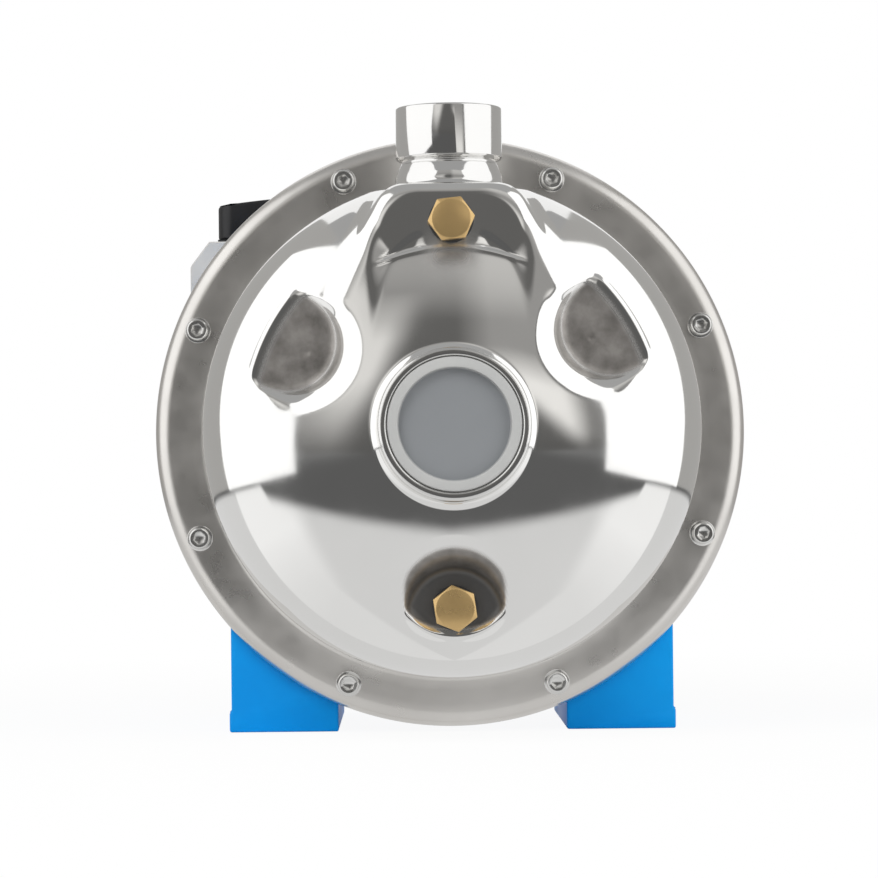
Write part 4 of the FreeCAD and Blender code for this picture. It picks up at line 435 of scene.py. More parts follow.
def make_suction_socket():
    """Socket over the neck's end, drawn as (distance, radius)."""
    bore = NECK_END + 7.0
    outline = [(NECK_END - 4.0, SUCTION_BORE), (NECK_END - 4.0, 25.4), (NECK_END, 25.4)]
    outline += bend((NECK_END + 0.6, 27.0), 0.55, 215.0, 115.0, 4)
    outline += [(NECK_END + 1.4, 27.05), (NECK_END + 2.0, 27.25)]
    outline += bend((SUCTION_FACE - 1.6, 25.65), 1.6, 90.0, 0.0, 7)
    outline += bend((SUCTION_FACE - 0.9, 25.0), 0.9, 0.0, -90.0, 5)
    outline += [(SUCTION_FACE - 3.0, 24.1), (SUCTION_FACE - 3.0, 22.7), (bore, 22.7)]
    outline += thread(bore, NECK_END - 4.0, SUCTION_BORE, GROOVE_DEPTH)
    return smooth(turned("suction_socket_body", along_shaft(outline), 192))


def make_suction_cap():
    """Recessed cap with its collar in the socket, drawn as (distance, radius)."""
    face, floor = SUCTION_FACE, SUCTION_FACE - 3.5
    outline = [(face, 21.0)] + bend((face - 0.6, 23.2), 0.6, 0.0, 90.0, 4)
    outline += [(face - 2.95, 23.8), (face - 2.95, 22.4), (face - 7.4, 22.1), (face - 7.4, 20.6)]
    outline += [(floor - 1.6, 20.2), (floor - 1.6, 0.0), (floor, 0.0)]
    outline += bend((floor + 0.5, 19.5), 0.5, 180.0, 90.0, 4)
    outline += bend((face - 0.5, 20.5), 0.5, -90.0, 0.0, 3)
    return smooth(turned("suction_cap_moulding", along_shaft(outline), 160))


def upright(points):
    """Spots of an outline given as (radius, height) about the discharge axis."""
    return [spot(radius, OUTLET_D, height) for radius, height in points]


def make_discharge_socket():
    """Socket on the pad with its weld and neck."""
    outline = [(OUTLET_BORE, 89.0), (23.6, 89.0), (22.9, 89.6)]
    outline += bend((23.6, 93.0), 3.3, 250.0, 180.0, 6)
    outline += [(20.1, 94.4), (19.6, 95.8), (19.0, 97.4), (18.5, 98.6)]
    outline += bend((18.9, 99.7), 0.9, 225.0, 120.0, 4)
    outline += [(19.5, 101.0), (20.0, 101.8)] + bend((19.2, 119.7), 0.8, 0.0, 90.0, 5)
    outline += bend((16.2, 119.8), 0.7, 90.0, 160.0, 4)
    grooves = thread(118.6, 100.0, OUTLET_BORE, GROOVE_DEPTH)
    outline += [(radius, height) for height, radius in grooves]
    piece = turned("discharge_socket_body", upright(outline), 192,
                   spot(0, OUTLET_D, 0), (0, 0, 1))
    return smooth(piece)


# Plugs, screws and washers
PLUG_FLATS, PLUG_UNDER, PLUG_TOP = 15.0, 1.5, 7.5
PRIMING_Z, DRAIN_Z = 75.0, -66.0
SCREW_CIRCLE, SCREW_COUNT, FIRST_SCREW = 105.8, 8, 22.5


def hexagon(name, flats, low, high, z, turn):
    """Six-sided block between two distances in front of the joint plane."""
    deselect()
    bpy.ops.mesh.primitive_cylinder_add(vertices=6, radius=flats / math.sqrt(3) * MM,
                                        depth=(high - low) * MM,
                                        location=spot(0, 0.5 * (low + high), z),
                                        rotation=(math.pi / 2, math.radians(turn), 0))
    piece = named(name)
    bpy.ops.object.transform_apply(location=True, rotation=True, scale=True)
    return piece


def off_shaft(points, z):
    """Spots of an outline given as (d, radius) about an axis beside the shaft's."""
    return [spot(0, d, z + radius) for d, radius in points]


def make_plug(name, face, z, turn):
    """Hexagon head, chamfered, with its threaded shank."""
    under, top = face + PLUG_UNDER, face + PLUG_TOP
    head = hexagon(name, PLUG_FLATS, under, top, z, turn)
    corner = PLUG_FLATS / math.sqrt(3)
    centre = spot(0, 0, z)
    shaping = [(under - 1, 0), (under - 1, corner + 1), (top - 1.0, corner + 0.05),
               (top - 0.05, corner - 1.65), (top, corner - 1.8), (top, 0)]
    boolean(head, turned(name + "_form", off_shaft(shaping, z), 96, centre), "INTERSECT")
    round_edges(head, 0.22, angle=25.0)
    shank = [(under + 0.5, 0), (under + 0.5, 5.0), (under - 0.5, 5.0)]
    shank += thread(under - 1.0, under - 9.6, 4.75, 0.6, PLUG_PITCH)
    shank += [(under - 9.9, 5.0), (under - 10.5, 4.2), (under - 10.5, 0)]
    stem = turned(name + "_thread", off_shaft(shank, z), 64, centre)
    pick(head)
    stem.select_set(True)
    bpy.ops.object.join()
    return smooth(head, 28.0)


def make_gasket(name, face, z):
    outline = [(face + 0.01, 5.8)] + bend((face + 0.5, 7.7), 0.5, 180.0, 90.0, 3)
    outline += bend((face + 1.0, 7.7), 0.49, 90.0, 0.0, 3) + [(face + 1.49, 5.8)]
    return smooth(turned(name, off_shaft(outline, z), 96, spot(0, 0, z)))


def screw_places():
    turns = [math.radians(FIRST_SCREW + 360 / SCREW_COUNT * i) for i in range(SCREW_COUNT)]
    return [(SCREW_CIRCLE * math.cos(turn), SCREW_CIRCLE * math.sin(turn)) for turn in turns]


def make_screw(name):
    """Socket head screw, made on the shaft axis and copied to the flange."""
    seat, top = 2.8, 7.8
    outline = [(top, 0.0), (top, 3.3)] + bend((top - 0.75, 3.35), 0.75, 0.0, 90.0, 5)
    outline += [(seat + 0.2, 4.1), (seat, 3.9), (seat, 2.5)]
    outline += [(seat - 3.0, 2.5), (seat - 14.0, 2.5), (seat - 14.5, 2.1), (seat - 14.5, 0.0)]
    head = turned(name, along_shaft(outline), 64)
    key = hexagon(name + "_key", 4.0, top - 2.6, top + 1.0, 0, 15.0)
    boolean(head, key, "DIFFERENCE")
    round_edges(head, 0.12, angle=50.0)
    return smooth(head, 30.0)


def make_washer(name):
    outline = [(1.8, 2.75)] + bend((2.0, 4.8), 0.2, 180.0, 90.0, 2)
    outline += bend((2.6, 4.8), 0.2, 90.0, 0.0, 2) + [(2.8, 2.75)]
    return smooth(turned(name, along_shaft(outline), 64))


# Castings and housings that keep the CAD's form
def dressed(node, name, width, segments):
    """A merged copy of a node's form with its edges rounded."""
    deselect()
    piece = copied(NODES[node], name, (0, 0, 0))
    pick(piece)
    bpy.ops.object.mode_set(mode="EDIT")
    merge_points(4e-6)
    bpy.ops.mesh.dissolve_limited(angle_limit=math.radians(0.4), use_dissolve_boundaries=False)
    bpy.ops.mesh.normals_make_consistent(inside=False)
    bpy.ops.object.mode_set(mode="OBJECT")
    round_edges(piece, width, segments)
    return smooth(piece)


# Materials
def add(tree, kind, inputs=None, **settings):
    made = tree.nodes.new(kind)
    for key, value in settings.items():
        setattr(made, key, value)
    for key, value in (inputs or {}).items():
        if isinstance(value, bpy.types.NodeSocket):
            tree.links.new(value, made.inputs[key])
        else:
            made.inputs[key].default_value = value
    return made


def reckon(tree, operation, *values):
    """Number made of one, two or three others."""
    return add(tree, "ShaderNodeMath", dict(enumerate(values)), operation=operation).outputs[0]


def remap(tree, value, start, end, low=0.0, high=1.0, **settings):
    """Number that goes from low to high while the value goes from start to end."""
    return add(tree, "ShaderNodeMapRange", {0: value, 1: start, 2: end, 3: low, 4: high},
               **settings).outputs[0]


def mix(tree, share, first, second):
    return add(tree, "ShaderNodeMix", {0: share, 2: first, 3: second}).outputs[0]


def mix_colours(tree, share, first, second):
    first, second = ((*colour, 1.0) if isinstance(colour, tuple) else colour
                     for colour in (first, second))
    return add(tree, "ShaderNodeMix", {0: share, 6: first, 7: second},
               data_type="RGBA").outputs[2]


def noise(tree, **inputs):
    return add(tree, "ShaderNodeTexNoise", inputs).outputs[0]


def off_axis(tree, place):
    """The place's offset from the axis along Y through zero, and its distance from it."""
    flat = add(tree, "ShaderNodeVectorMath", {0: place, 1: (1.0, 0.0, 1.0)},
               operation="MULTIPLY").outputs[0]
    away = add(tree, "ShaderNodeVectorMath", {0: flat}, operation="LENGTH").outputs["Value"]
    return flat, away


def effect(name, output, **inputs):
    """Empty shared effect: a position and the numbers given go in, one number comes out."""
    tree = bpy.data.node_groups.new(name, "ShaderNodeTree")
    tree.interface.new_socket("Position", in_out="INPUT", socket_type="NodeSocketVector")
    for label, value in inputs.items():
        kind = "NodeSocketVector" if isinstance(value, tuple) else "NodeSocketFloat"
        socket = tree.interface.new_socket(label, in_out="INPUT", socket_type=kind)
        socket.default_value = value
    tree.interface.new_socket(output, in_out="OUTPUT", socket_type="NodeSocketFloat")
    given, result = tree.nodes.new("NodeGroupInput"), tree.nodes.new("NodeGroupOutput")
    return tree, given.outputs, result.inputs[output]


def use(tree, group, place, **inputs):
    """Result of a shared effect at a place."""
    return add(tree, "ShaderNodeGroup", {"Position": place, **inputs},
               node_tree=group).outputs[0]


def make_mottle():
    """Slow uneven patches between two values."""
    tree, given, result = effect("uneven_patches", "Value", Scale=20.0, Low=0.0, High=1.0)
    cloud = noise(tree, Vector=given["Position"], Scale=given["Scale"], Detail=4.0,
                  Roughness=0.55)
    tree.links.new(remap(tree, cloud, 0.32, 0.68, given["Low"], given["High"]), result)
    return tree


def make_rings():
    """Fine turning marks round an axis along Y through the position's zero."""
    tree, given, result = effect("turning_rings", "Height", Spacing=0.0003)
    _, away = off_axis(tree, given["Position"])
    count = reckon(tree, "DIVIDE", away, given["Spacing"])
    lines = add(tree, "ShaderNodeTexNoise", {"W": count, "Scale": 1.0, "Detail": 2.0},
                noise_dimensions="1D")
    tree.links.new(lines.outputs[0], result)
    return tree


def make_streaks():
    """Brushed arcs round an axis along Y through the position's zero, without a seam."""
    tree, given, result = effect("brushed_arcs", "Height", Around=8.0, Across=1500.0)
    flat, away = off_axis(tree, given["Position"])
    aim = add(tree, "ShaderNodeVectorMath", {0: flat}, operation="NORMALIZE").outputs[0]
    turn = add(tree, "ShaderNodeVectorMath", {0: aim, "Scale": given["Around"]},
               operation="SCALE").outputs[0]
    out = reckon(tree, "MULTIPLY", away, given["Across"])
    lift = add(tree, "ShaderNodeCombineXYZ", {1: out}).outputs[0]
    spread = add(tree, "ShaderNodeVectorMath", {0: turn, 1: lift}, operation="ADD").outputs[0]
    tree.links.new(noise(tree, Vector=spread, Scale=1.0, Detail=3.0, Roughness=0.6), result)
    return tree


def make_scratches():
    """Hairline polishing scratches, stretched along one direction."""
    tree, given, result = effect("polishing_scratches", "Height", Stretch=(1.0, 1.0, 1.0))
    drawn = add(tree, "ShaderNodeVectorMath", {0: given["Position"], 1: given["Stretch"]},
                operation="MULTIPLY").outputs[0]
    tree.links.new(noise(tree, Vector=drawn, Scale=1.0, Detail=3.0, Roughness=0.6), result)
    return tree


def make_grain():
    """Skin of a casting or moulding: fine grain over larger unevenness."""
    tree, given, result = effect("surface_grain", "Height", Scale=900.0, Coarse=0.3)
    fine = noise(tree, Vector=given["Position"], Scale=given["Scale"], Detail=3.0)
    eighth = reckon(tree, "MULTIPLY", given["Scale"], 0.12)
    broad = noise(tree, Vector=given["Position"], Scale=eighth, Detail=2.0)
    tree.links.new(mix(tree, given["Coarse"], fine, broad), result)
    return tree


PATCHES, RINGS, SCRATCHES, GRAIN = make_mottle(), make_rings(), make_scratches(), make_grain()
STREAKS = make_streaks()


def blank(name):
    """New material with its shader and the object's own coordinates."""
    material = bpy.data.materials.new(name)
    material.use_nodes = True
    tree = material.node_tree
    shader = tree.nodes["Principled BSDF"]
    place = add(tree, "ShaderNodeTexCoord").outputs["Object"]
    return material, tree, shader, place


def centred(tree, place, at):
    """The place counted from a point, so that rings lie round it."""
    return add(tree, "ShaderNodeMapping", {0: place, 1: tuple(-value for value in at)},
               vector_type="POINT").outputs[0]


def shade(tree, shader, place, dark, light, scale):
    """Base colour that drifts a little between two shades."""
    drift = use(tree, PATCHES, place, Scale=scale)
    tree.links.new(mix_colours(tree, drift, dark, light), shader.inputs["Base Color"])


def roughness(tree, shader, place, low, high, scale):
    drift = use(tree, PATCHES, place, Scale=scale, Low=low, High=high)
    tree.links.new(drift, shader.inputs["Roughness"])


def bump(tree, shader, height, distance, under=None):
    """Lets a height in millimetres show in the shading, over another bump if there is one."""
    inputs = {"Height": height, "Distance": distance * MM, "Strength": 1.0}
    if under is not None:
        inputs["Normal"] = under
    made = add(tree, "ShaderNodeBump", inputs).outputs[0]
    tree.links.new(made, shader.inputs["Normal"])
    return made


def metal(name, dark, light, low, high, rings=None, at=(0, 0, 0), scratches=None, waves=None,
          streaks=None, metallic=1.0):
    """Metal between two shades and two roughnesses. Waves are (scale, height), scratches
    (stretch, height), streaks (around, across, height) and rings (spacing, height)."""
    material, tree, shader, place = blank(name)
    shader.inputs["Metallic"].default_value = metallic
    shade(tree, shader, place, dark, light, 14.0)
    roughness(tree, shader, place, low, high, 60.0)
    under = None
    if waves:
        slow = use(tree, GRAIN, place, Scale=waves[0], Coarse=0.5)
        under = bump(tree, shader, slow, waves[1])
    if scratches:
        hair = use(tree, SCRATCHES, place, Stretch=scratches[0])
        under = bump(tree, shader, hair, scratches[1], under)
    if streaks:
        arcs = use(tree, STREAKS, centred(tree, place, at), Around=streaks[0],
                   Across=streaks[1])
        under = bump(tree, shader, arcs, streaks[2], under)
    if rings:
        marks = use(tree, RINGS, centred(tree, place, at), Spacing=rings[0] * MM)
        bump(tree, shader, marks, rings[1], under)
    return material


def plastic(name, dark, light, low, high, grain=(900.0, 0.02)):
    """Moulding or other dull stuff; its grain is (scale, height)."""
    material, tree, shader, place = blank(name)
    shade(tree, shader, place, dark, light, 18.0)
    roughness(tree, shader, place, low, high, 90.0)
    bump(tree, shader, use(tree, GRAIN, place, Scale=grain[0], Coarse=0.3), grain[1])
    return material


def painted(name, dark, light, low, high):
    """Smooth paint over a casting, with faint orange peel."""
    material, tree, shader, place = blank(name)
    shade(tree, shader, place, dark, light, 16.0)
    roughness(tree, shader, place, low, high, 50.0)
    bump(tree, shader, use(tree, GRAIN, place, Scale=420.0, Coarse=0.65), 0.06)
    shader.inputs["Specular IOR Level"].default_value = 0.12
    return material


def parts_of(material):
    """Tree, shader, base colour's and roughness's sources, and place of a made material."""
    tree = material.node_tree
    shader = tree.nodes["Principled BSDF"]
    colour = shader.inputs["Base Color"].links[0].from_socket
    rough = shader.inputs["Roughness"].links[0].from_socket
    return tree, shader, colour, rough, add(tree, "ShaderNodeTexCoord").outputs["Object"]


def drawn_steel():
    """Polished sheet that is satin where the attribute marks a stamped floor or the pad's foot, and
    painted darker there as shade, darkest in the drain pocket.
    """
    material = metal("polished_steel", (0.83, 0.825, 0.81), (0.87, 0.865, 0.85), 0.06, 0.1,
                     waves=(26.0, 0.05))
    tree, shader, colour, rough, place = parts_of(material)
    matt_and_shade_mask = add(tree, "ShaderNodeAttribute", attribute_name="floor_matt_and_shade").outputs["Fac"]
    # Painted shade on the floors, drifting at random between two dark tones
    shade_patches = use(tree, PATCHES, place, Scale=110.0)
    floor = mix_colours(tree, shade_patches, (0.19, 0.178, 0.165), (0.37, 0.35, 0.33))
    toned = mix_colours(tree, matt_and_shade_mask, colour, floor)
    # The drain pocket's floor painted nearly black, as shade
    toned = mix_colours(tree, remap(tree, matt_and_shade_mask, 1.0, 2.0), toned, (0.11, 0.108, 0.105))
    tree.links.new(toned, shader.inputs["Base Color"])
    tree.links.new(remap(tree, matt_and_shade_mask, 0.0, 1.0, 1.0, 0.6), shader.inputs["Metallic"])
    tree.links.new(mix(tree, matt_and_shade_mask, rough, 0.33), shader.inputs["Roughness"])
    return material


def cap_plastic():
    """Moulding: pale ring round a darker, bluish recessed disc."""
    material = plastic("cap_polythene", (0.36, 0.365, 0.36), (0.42, 0.42, 0.41), 0.42, 0.55)
    tree, shader, colour, _, place = parts_of(material)
    _, away = off_axis(tree, centred(tree, place, SHAFT))
    disc = remap(tree, away, 0.0201, 0.0196)
    tree.links.new(mix_colours(tree, disc, colour, (0.20, 0.21, 0.22)),
                   shader.inputs["Base Color"])
    return material


SHAFT = spot(0, 0, 0)
BRASS = {"dark": (0.59, 0.405, 0.18), "light": (0.67, 0.46, 0.205), "low": 0.2, "high": 0.3,
         "metallic": 0.74}
FINISH = {
    "polished_steel": drawn_steel(),
    "satin_steel": metal("satin_steel", (0.66, 0.64, 0.61), (0.78, 0.76, 0.73), 0.26, 0.36,
                         at=SHAFT, waves=(24.0, 0.8), streaks=(7.0, 600.0, 0.003)),
    "socket_steel": metal("socket_steel", (0.76, 0.755, 0.745), (0.82, 0.815, 0.80), 0.07, 0.12,
                          scratches=((60.0, 60.0, 2600.0), 0.002)),
    "rim_steel": metal("rim_steel", (0.72, 0.715, 0.70), (0.80, 0.795, 0.78), 0.12, 0.2,
                       at=SHAFT, streaks=(12.0, 2500.0, 0.003)),
    "bright_zinc": metal("bright_zinc", (0.66, 0.655, 0.64), (0.78, 0.775, 0.76), 0.12, 0.22),
    "turned_brass": metal("turned_brass", **BRASS),
    "upper_brass": metal("upper_brass", **BRASS, rings=(0.5, 0.003), at=spot(0, 0, PRIMING_Z)),
    "lower_brass": metal("lower_brass", **BRASS, rings=(0.5, 0.003), at=spot(0, 0, DRAIN_Z)),
    "ground_steel": metal("ground_steel", (0.58, 0.58, 0.58), (0.68, 0.68, 0.67), 0.18, 0.3,
                          scratches=((300.0, 4000.0, 300.0), 0.003)),
    "bearing_steel": metal("bearing_steel", (0.70, 0.70, 0.70), (0.78, 0.78, 0.78), 0.06, 0.12,
                           rings=(0.1, 0.002), at=SHAFT),
    "stacked_sheet": metal("stacked_sheet", (0.26, 0.26, 0.27), (0.36, 0.36, 0.37), 0.35, 0.5,
                           scratches=((40.0, 9000.0, 40.0), 0.05)),
    "can_aluminium": metal("can_aluminium", (0.74, 0.74, 0.75), (0.82, 0.82, 0.83), 0.2, 0.32,
                           scratches=((500.0, 60.0, 500.0), 0.003)),
    "cap_polythene": cap_plastic(),
    "blue_paint": painted("blue_paint", (0.0, 0.27, 0.74), (0.0, 0.34, 0.86), 0.3, 0.42),
    "box_grey": plastic("box_grey", (0.50, 0.49, 0.47), (0.56, 0.55, 0.53), 0.42, 0.55),
    "lid_black": plastic("lid_black", (0.004, 0.004, 0.005), (0.009, 0.009, 0.010), 0.3, 0.42),
    "cover_black": plastic("cover_black", (0.014, 0.014, 0.015), (0.026, 0.026, 0.028), 0.38, 0.5),
    "rubber": plastic("rubber", (0.016, 0.016, 0.016), (0.03, 0.03, 0.03), 0.55, 0.7),
    "moulding": plastic("moulding", (0.07, 0.07, 0.075), (0.11, 0.11, 0.115), 0.4, 0.55),
    "ceramic": plastic("ceramic", (0.80, 0.78, 0.73), (0.87, 0.85, 0.80), 0.15, 0.25,
                       (1500.0, 0.004)),
    "carbon": plastic("carbon", (0.03, 0.03, 0.03), (0.06, 0.06, 0.06), 0.3, 0.45, (1500.0, 0.006)),
    "winding": plastic("winding", (0.38, 0.11, 0.03), (0.55, 0.2, 0.07), 0.25, 0.4, (700.0, 0.3)),
}


def coat_node(node, look):
    """Gives a node that stays as it is its material."""
    holder = NODES[node]
    if not holder.material_slots:
        holder.data.materials.append(FINISH[look])
    for place in holder.material_slots:
        place.material = FINISH[look]


def fit(piece, look, body, slot, *nodes):
    """Material, body, slot (not used), and the nodes that the piece stands for."""
    piece.data.materials.clear()
    piece.data.materials.append(FINISH[look])
    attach(piece, body)
    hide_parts(*nodes)


# Assembly
fit(make_casing_dome(), "polished_steel", "pump", "stainless", "pump_casing")
fit(make_casing_flange(), "satin_steel", "pump", "stainless", "pump_casing")
fit(make_suction_socket(), "rim_steel", "pump", "stainless", "suction_socket")
fit(make_discharge_socket(), "socket_steel", "pump", "stainless", "discharge_socket")
fit(make_suction_cap(), "cap_polythene", "cap", "clear_cap", "suction_cap")
fit(make_plug("priming_plug_head", PAD_FRONT, PRIMING_Z, 24.0), "upper_brass",
    "priming_screw", "brass", "priming_plug")
fit(make_plug("drain_plug_head", POCKET_FLOOR, DRAIN_Z, -8.0), "lower_brass",
    "drain_screw", "brass", "drain_plug")
fit(make_gasket("priming_seal", PAD_FRONT, PRIMING_Z), "rubber",
    "priming_washer", "rubber", "priming_gasket")
fit(make_gasket("drain_seal", POCKET_FLOOR, DRAIN_Z), "rubber",
    "drain_washer", "rubber", "drain_gasket")

screw_form, washer_form = make_screw("screw_form"), make_washer("washer_form")
for index, (x, z) in enumerate(screw_places(), 1):
    shift = Vector((x, 0, z)) * MM
    fit(smooth(copied(screw_form, f"casing_screw_{index}", shift), 30.0),
        "bright_zinc", "pump", "zinc_steel", "casing_screws")
    fit(smooth(copied(washer_form, f"casing_washer_{index}", shift), 30.0),
        "bright_zinc", "pump", "zinc_steel", "casing_washers")
for form in (screw_form, washer_form):
    bpy.data.objects.remove(form)

# Node, name, look, slot, and width and steps of its rounded edges
for node, name, look, slot, width, steps in (
        ("motor_bracket", "bracket_casting", "blue_paint", "blue_paint", 0.8, 2),
        ("terminal_box_base", "box_base", "box_grey", "grey_plastic", 0.6, 2),
        ("terminal_box_lid", "box_lid", "lid_black", "black_plastic", 1.2, 3),
        ("motor_housing", "housing_casting", "blue_paint", "blue_paint", 0.5, 2),
        ("rear_end_shield", "rear_casting", "blue_paint", "blue_paint", 0.5, 2),
        ("tie_rods", "tie_rod_steel", "bright_zinc", "zinc_steel", 0.15, 2),
        ("fan_cover", "fan_guard", "cover_black", "black_plastic", 0.35, 2),
        ("fan_cover_screws", "guard_screws", "bright_zinc", "zinc_steel", 0.12, 2),
        ("lid_screws", "box_screws", "bright_zinc", "zinc_steel", 0.12, 2),
        ("cable_gland", "gland_body", "box_grey", "grey_plastic", 0.25, 2),
        ("gland_nut", "gland_cap", "box_grey", "grey_plastic", 0.25, 2),
        ("seal_plate", "pressed_plate", "satin_steel", "stainless", 0.3, 2)):
    fit(dressed(node, name, width, steps), look, "pump", slot, node)

# Nodes inside the pump, which keep the CAD's form
KEPT = {
    "ground_steel": ("priming_boss", "drain_boss", "impeller_key", "shaft", "preload_ring"),
    "bearing_steel": ("front_bearing_inner_ring", "front_bearing_outer_ring",
                      "front_bearing_balls", "rear_bearing_inner_ring",
                      "rear_bearing_outer_ring", "rear_bearing_balls"),
    "satin_steel": ("impeller",),
    "stacked_sheet": ("rotor_core", "stator_core"),
    "winding": ("stator_windings",),
    "bright_zinc": ("fan_clip",),
    "turned_brass": ("impeller_nut", "terminal_studs"),
    "can_aluminium": ("capacitor",),
    "rubber": ("casing_seal_ring", "seal_bellows", "water_slinger", "lid_gasket"),
    "moulding": ("ejector_body", "ejector_nozzle", "diffuser", "cooling_fan", "terminal_block"),
    "ceramic": ("seal_seat",),
    "carbon": ("seal_ring",),
}
for look, nodes in KEPT.items():
    for node in nodes:
        coat_node(node, look)


# Camera, floor and light
WHITE, WARM = (1.0, 1.0, 1.0, 1.0), (1.0, 0.985, 0.96, 1.0)
CARD_HALF, CARD_FRONT, CARD_TOP = 1.2, -1.5, 1.5  # the front and top cards' reach
SIDE_X = 0.46
SOFTBOX = ((-0.715, 0.0), (-0.715, 0.2), (-0.92, 0.74), (-0.92, 0.95), (-0.38, 0.88),
           (0.1, 0.65), (-0.06, 0.1), (-0.06, 0.0))  # its outline as (y, z)
# Level of the wall behind the camera by height
WALL = ((0.0, 0.11), (0.12, 0.13), (0.8, 0.134), (0.85, 0.18), (0.97, 0.286), (1.09, 0.35),
        (1.23, 0.39), (1.5, 0.4))


def make_camera():
    data = bpy.data.cameras.new("photo_view")
    data.sensor_width = 36.0
    data.lens = 130.9
    data.shift_x, data.shift_y = 0.0353, 0.0735
    data.clip_start, data.clip_end = 0.05, 60.0
    camera = bpy.data.objects.new("photo_view", data)
    bpy.context.scene.collection.objects.link(camera)
    camera.location = (-0.0167, -1.308, 0.0892)
    camera.rotation_euler = (math.pi / 2, math.radians(0.6), 0.0)
    bpy.context.scene.camera = camera


def bare(name):
    """New material without nodes, and its tree."""
    material = bpy.data.materials.new(name)
    material.use_nodes = True
    material.node_tree.nodes.clear()
    return material, material.node_tree


def put_out(tree, shader, kind="ShaderNodeOutputMaterial"):
    tree.links.new(shader.outputs[0], add(tree, kind).inputs[0])


def glow(name, colour, strength):
    """Plain light surface of a studio card."""
    material, tree = bare(name)
    put_out(tree, add(tree, "ShaderNodeEmission", {"Color": colour, "Strength": strength}))
    return material


def window(tree, across, height, lean, middle, soft, rise, fall, outer, strength):
    """Lighter patch of the wall with a slanting inner edge and soft ends: it rises and falls
    over two heights, and falls outward between two places to a last share."""
    sloped = reckon(tree, "MULTIPLY_ADD", height, lean, across)
    level = remap(tree, sloped, middle - soft, middle + soft, interpolation_type="SMOOTHSTEP")
    for share in (remap(tree, height, rise[0], rise[1]),
                  remap(tree, height, fall[0], fall[1], 1.0, fall[2]),
                  remap(tree, across, outer[0], outer[1], 1.0, outer[2]),
                  remap(tree, across, 0.05, 0.25, 0.0, strength)):
        level = reckon(tree, "MULTIPLY", level, share)
    return level


def front_glow(name, stops):
    """Wall behind the camera: its level by height, with a lighter window on each side."""
    material, tree = bare(name)
    place = add(tree, "ShaderNodeTexCoord").outputs["Object"]
    across, _, height = add(tree, "ShaderNodeSeparateXYZ", {0: place}).outputs
    low, high = stops[0][0], stops[-1][0]
    ramp = add(tree, "ShaderNodeValToRGB", {0: remap(tree, height, low, high)})
    steps = ramp.color_ramp.elements
    while len(steps) < len(stops):
        steps.new(0.5)
    for step, (at, _) in zip(steps, stops):
        step.position = (at - low) / (high - low)
    # A second round, because the steps are put in order anew when one is moved
    for step, (_, level) in zip(steps, stops):
        step.color = (level, level, level, 1.0)
    left = window(tree, reckon(tree, "MULTIPLY", across, -1.0), height, lean=0.5, middle=0.66,
                  soft=0.14, rise=(-0.05, 0.47), fall=(0.68, 1.02, 0.0),
                  outer=(0.74, 1.0, 0.45), strength=0.68)
    right = window(tree, across, height, lean=1.35, middle=0.88, soft=0.12, rise=(-0.05, 0.1),
                   fall=(0.42, 0.62, 0.25), outer=(0.75, 0.9, 0.12), strength=0.8)
    level = reckon(tree, "ADD", reckon(tree, "ADD", left, right), ramp.outputs[0])
    put_out(tree, add(tree, "ShaderNodeEmission", {"Color": WARM, "Strength": level}))
    return material


def card(name, corners, material):
    """Flat studio card that only reflections show."""
    mesh = bpy.data.meshes.new(name)
    mesh.from_pydata([Vector(corner) for corner in corners], [], [tuple(range(len(corners)))])
    piece = bpy.data.objects.new(name, mesh)
    bpy.context.scene.collection.objects.link(piece)
    mesh.materials.append(material)
    piece.visible_camera = False
    piece.visible_diffuse = False
    piece.visible_shadow = False


def floor_glow(tree, place):
    """How bright reflections show the floor: dimmer before the feet, and past its front and
    side edges the dark room, a little lighter far off in the middle."""
    x, y, _ = add(tree, "ShaderNodeSeparateXYZ", {0: place}).outputs
    across = reckon(tree, "ABSOLUTE", x)
    slant = reckon(tree, "DIVIDE", across, reckon(tree, "SUBTRACT", -0.13, y))
    outside = remap(tree, across, 0.08, 0.2, 0.8)
    lit = remap(tree, slant, 0.8, 1.0, 0.72, outside, interpolation_type="SMOOTHSTEP")
    afar = remap(tree, y, -0.6, -1.5)
    aside = remap(tree, across, 0.42, 0.68, 0.0, 0.11)
    room = reckon(tree, "ADD", reckon(tree, "MULTIPLY", afar, aside), 0.115)
    curved = reckon(tree, "MULTIPLY_ADD", across, 0.25, y)
    front_edge = remap(tree, curved, -0.32, -0.378, interpolation_type="SMOOTHSTEP")
    side_edge = remap(tree, across, 0.41, 0.45)
    return mix(tree, reckon(tree, "MAXIMUM", front_edge, side_edge), lit, room)


def make_floor():
    """White floor: it takes shadows near the pump and glows further off and in reflections."""
    deselect()
    bpy.ops.mesh.primitive_plane_add(size=60.0, location=(0, 0, 0))
    floor = named("studio_floor")
    material, tree = bare("pale_floor")
    matt = add(tree, "ShaderNodeBsdfDiffuse", {"Color": (0.93, 0.93, 0.93, 1.0)})
    place = add(tree, "ShaderNodeTexCoord").outputs["Object"]
    away = add(tree, "ShaderNodeVectorMath", {0: place}, operation="LENGTH").outputs["Value"]
    share = remap(tree, away, 0.22, 0.6, 0.93, 1.0)
    ray = add(tree, "ShaderNodeLightPath").outputs
    seen = reckon(tree, "MULTIPLY", ray["Is Camera Ray"], share)
    bright = mix(tree, ray["Is Glossy Ray"], 1.0, floor_glow(tree, place))
    light = add(tree, "ShaderNodeEmission", {"Color": WHITE, "Strength": bright})
    both = reckon(tree, "MAXIMUM", seen, ray["Is Glossy Ray"])
    put_out(tree, add(tree, "ShaderNodeMixShader", {0: both, 1: matt.outputs[0],
                                                    2: light.outputs[0]}))
    floor.data.materials.append(material)


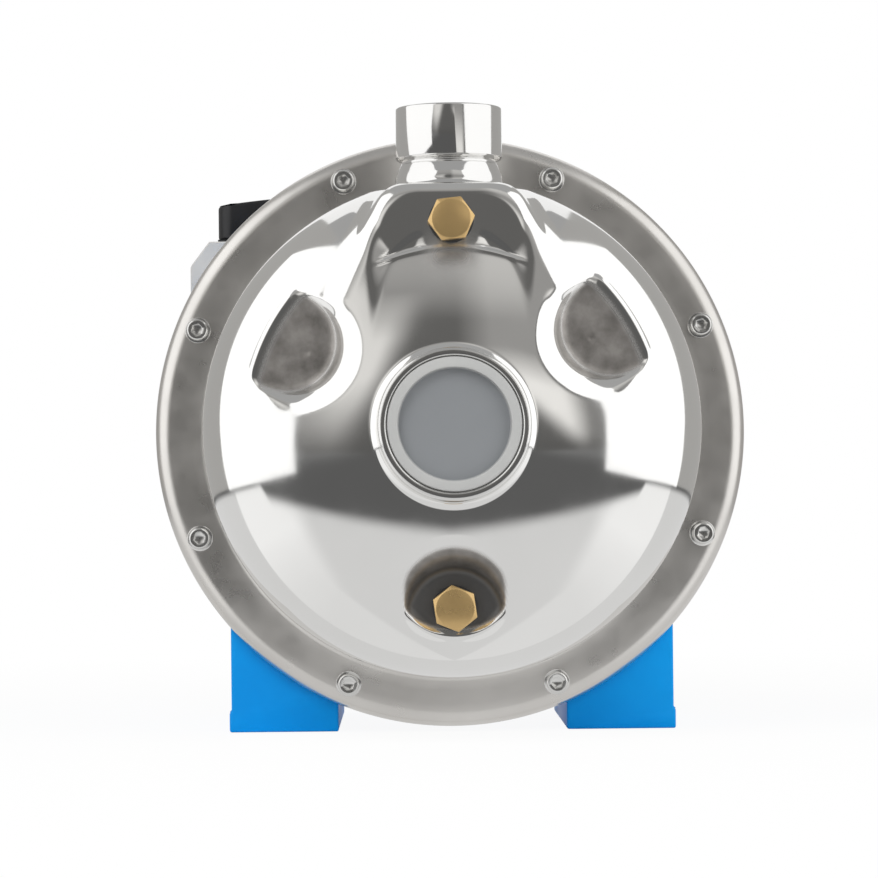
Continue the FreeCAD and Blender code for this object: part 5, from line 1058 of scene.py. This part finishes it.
def make_world():
    """White sky, dimmer as a light than where it is seen, reflected or looked through."""
    world = bpy.context.scene.world or bpy.data.worlds.new("studio")
    bpy.context.scene.world = world
    world.use_nodes = True
    tree = world.node_tree
    tree.nodes.clear()
    ray = add(tree, "ShaderNodeLightPath").outputs
    seen = reckon(tree, "MAXIMUM", ray["Is Camera Ray"], ray["Is Glossy Ray"])
    seen = reckon(tree, "MAXIMUM", seen, ray["Is Transmission Ray"])
    level = remap(tree, seen, 0.0, 1.0, 0.55, 1.0)
    sky = add(tree, "ShaderNodeBackground", {"Color": WHITE, "Strength": level})
    put_out(tree, sky, "ShaderNodeOutputWorld")


def lamp(name, place, aim, size, power):
    data = bpy.data.lights.new(name, "AREA")
    data.shape = "RECTANGLE"
    data.size, data.size_y = size
    data.energy = power
    light = bpy.data.objects.new(name, data)
    bpy.context.scene.collection.objects.link(light)
    light.location = place
    light.rotation_euler = (Vector(aim) - Vector(place)).to_track_quat("-Z", "Y").to_euler()
    light.visible_glossy = False
    light.visible_camera = False


def upright_card(name, x_range, y_range, z_range, material):
    """Card between two corners, upright over the line between them."""
    (x0, x1), (y0, y1), (z0, z1) = x_range, y_range, z_range
    card(name, [(x0, y0, z0), (x1, y1, z0), (x1, y1, z1), (x0, y0, z1)], material)


make_camera()
make_floor()
make_world()
lamp("key_lamp", (-0.9, -1.5, 1.5), (0, 0, 0.12), (1.2, 1.2), 24.0)
lamp("fill_lamp", (1.3, -1.2, 0.9), (0, 0, 0.12), (1.2, 1.2), 12.0)

upright_card("front_card", (-CARD_HALF, CARD_HALF), (CARD_FRONT, CARD_FRONT), (0.0, CARD_TOP),
             front_glow("front_card_light", WALL))
card("top_card", [(-CARD_HALF, CARD_FRONT, CARD_TOP), (CARD_HALF, CARD_FRONT, CARD_TOP),
                  (CARD_HALF, 0.6, CARD_TOP), (-CARD_HALF, 0.6, CARD_TOP)],
     glow("top_card_light", WHITE, 0.4))
# Hides the feet from the casing's lower edge, which would reflect them blue
upright_card("low_card", (-0.11, 0.11), (-0.0632, -0.0632), (0.0, 0.06),
             glow("low_card_light", WARM, 0.6))
bright, grey = glow("side_card_light", WHITE, 1.25), glow("rear_card_light", WARM, 0.42)
for way, label in ((-1, "left"), (1, "right")):
    card(f"{label}_softbox", [(way * SIDE_X, y, z) for y, z in SOFTBOX], bright)
    rear_x = way * (SIDE_X + 0.01)
    upright_card(f"{label}_rear_card", (rear_x, rear_x), (-0.3, 1.2), (0.0, 0.95), grey)

bpy.context.scene.view_settings.view_transform = "Standard"
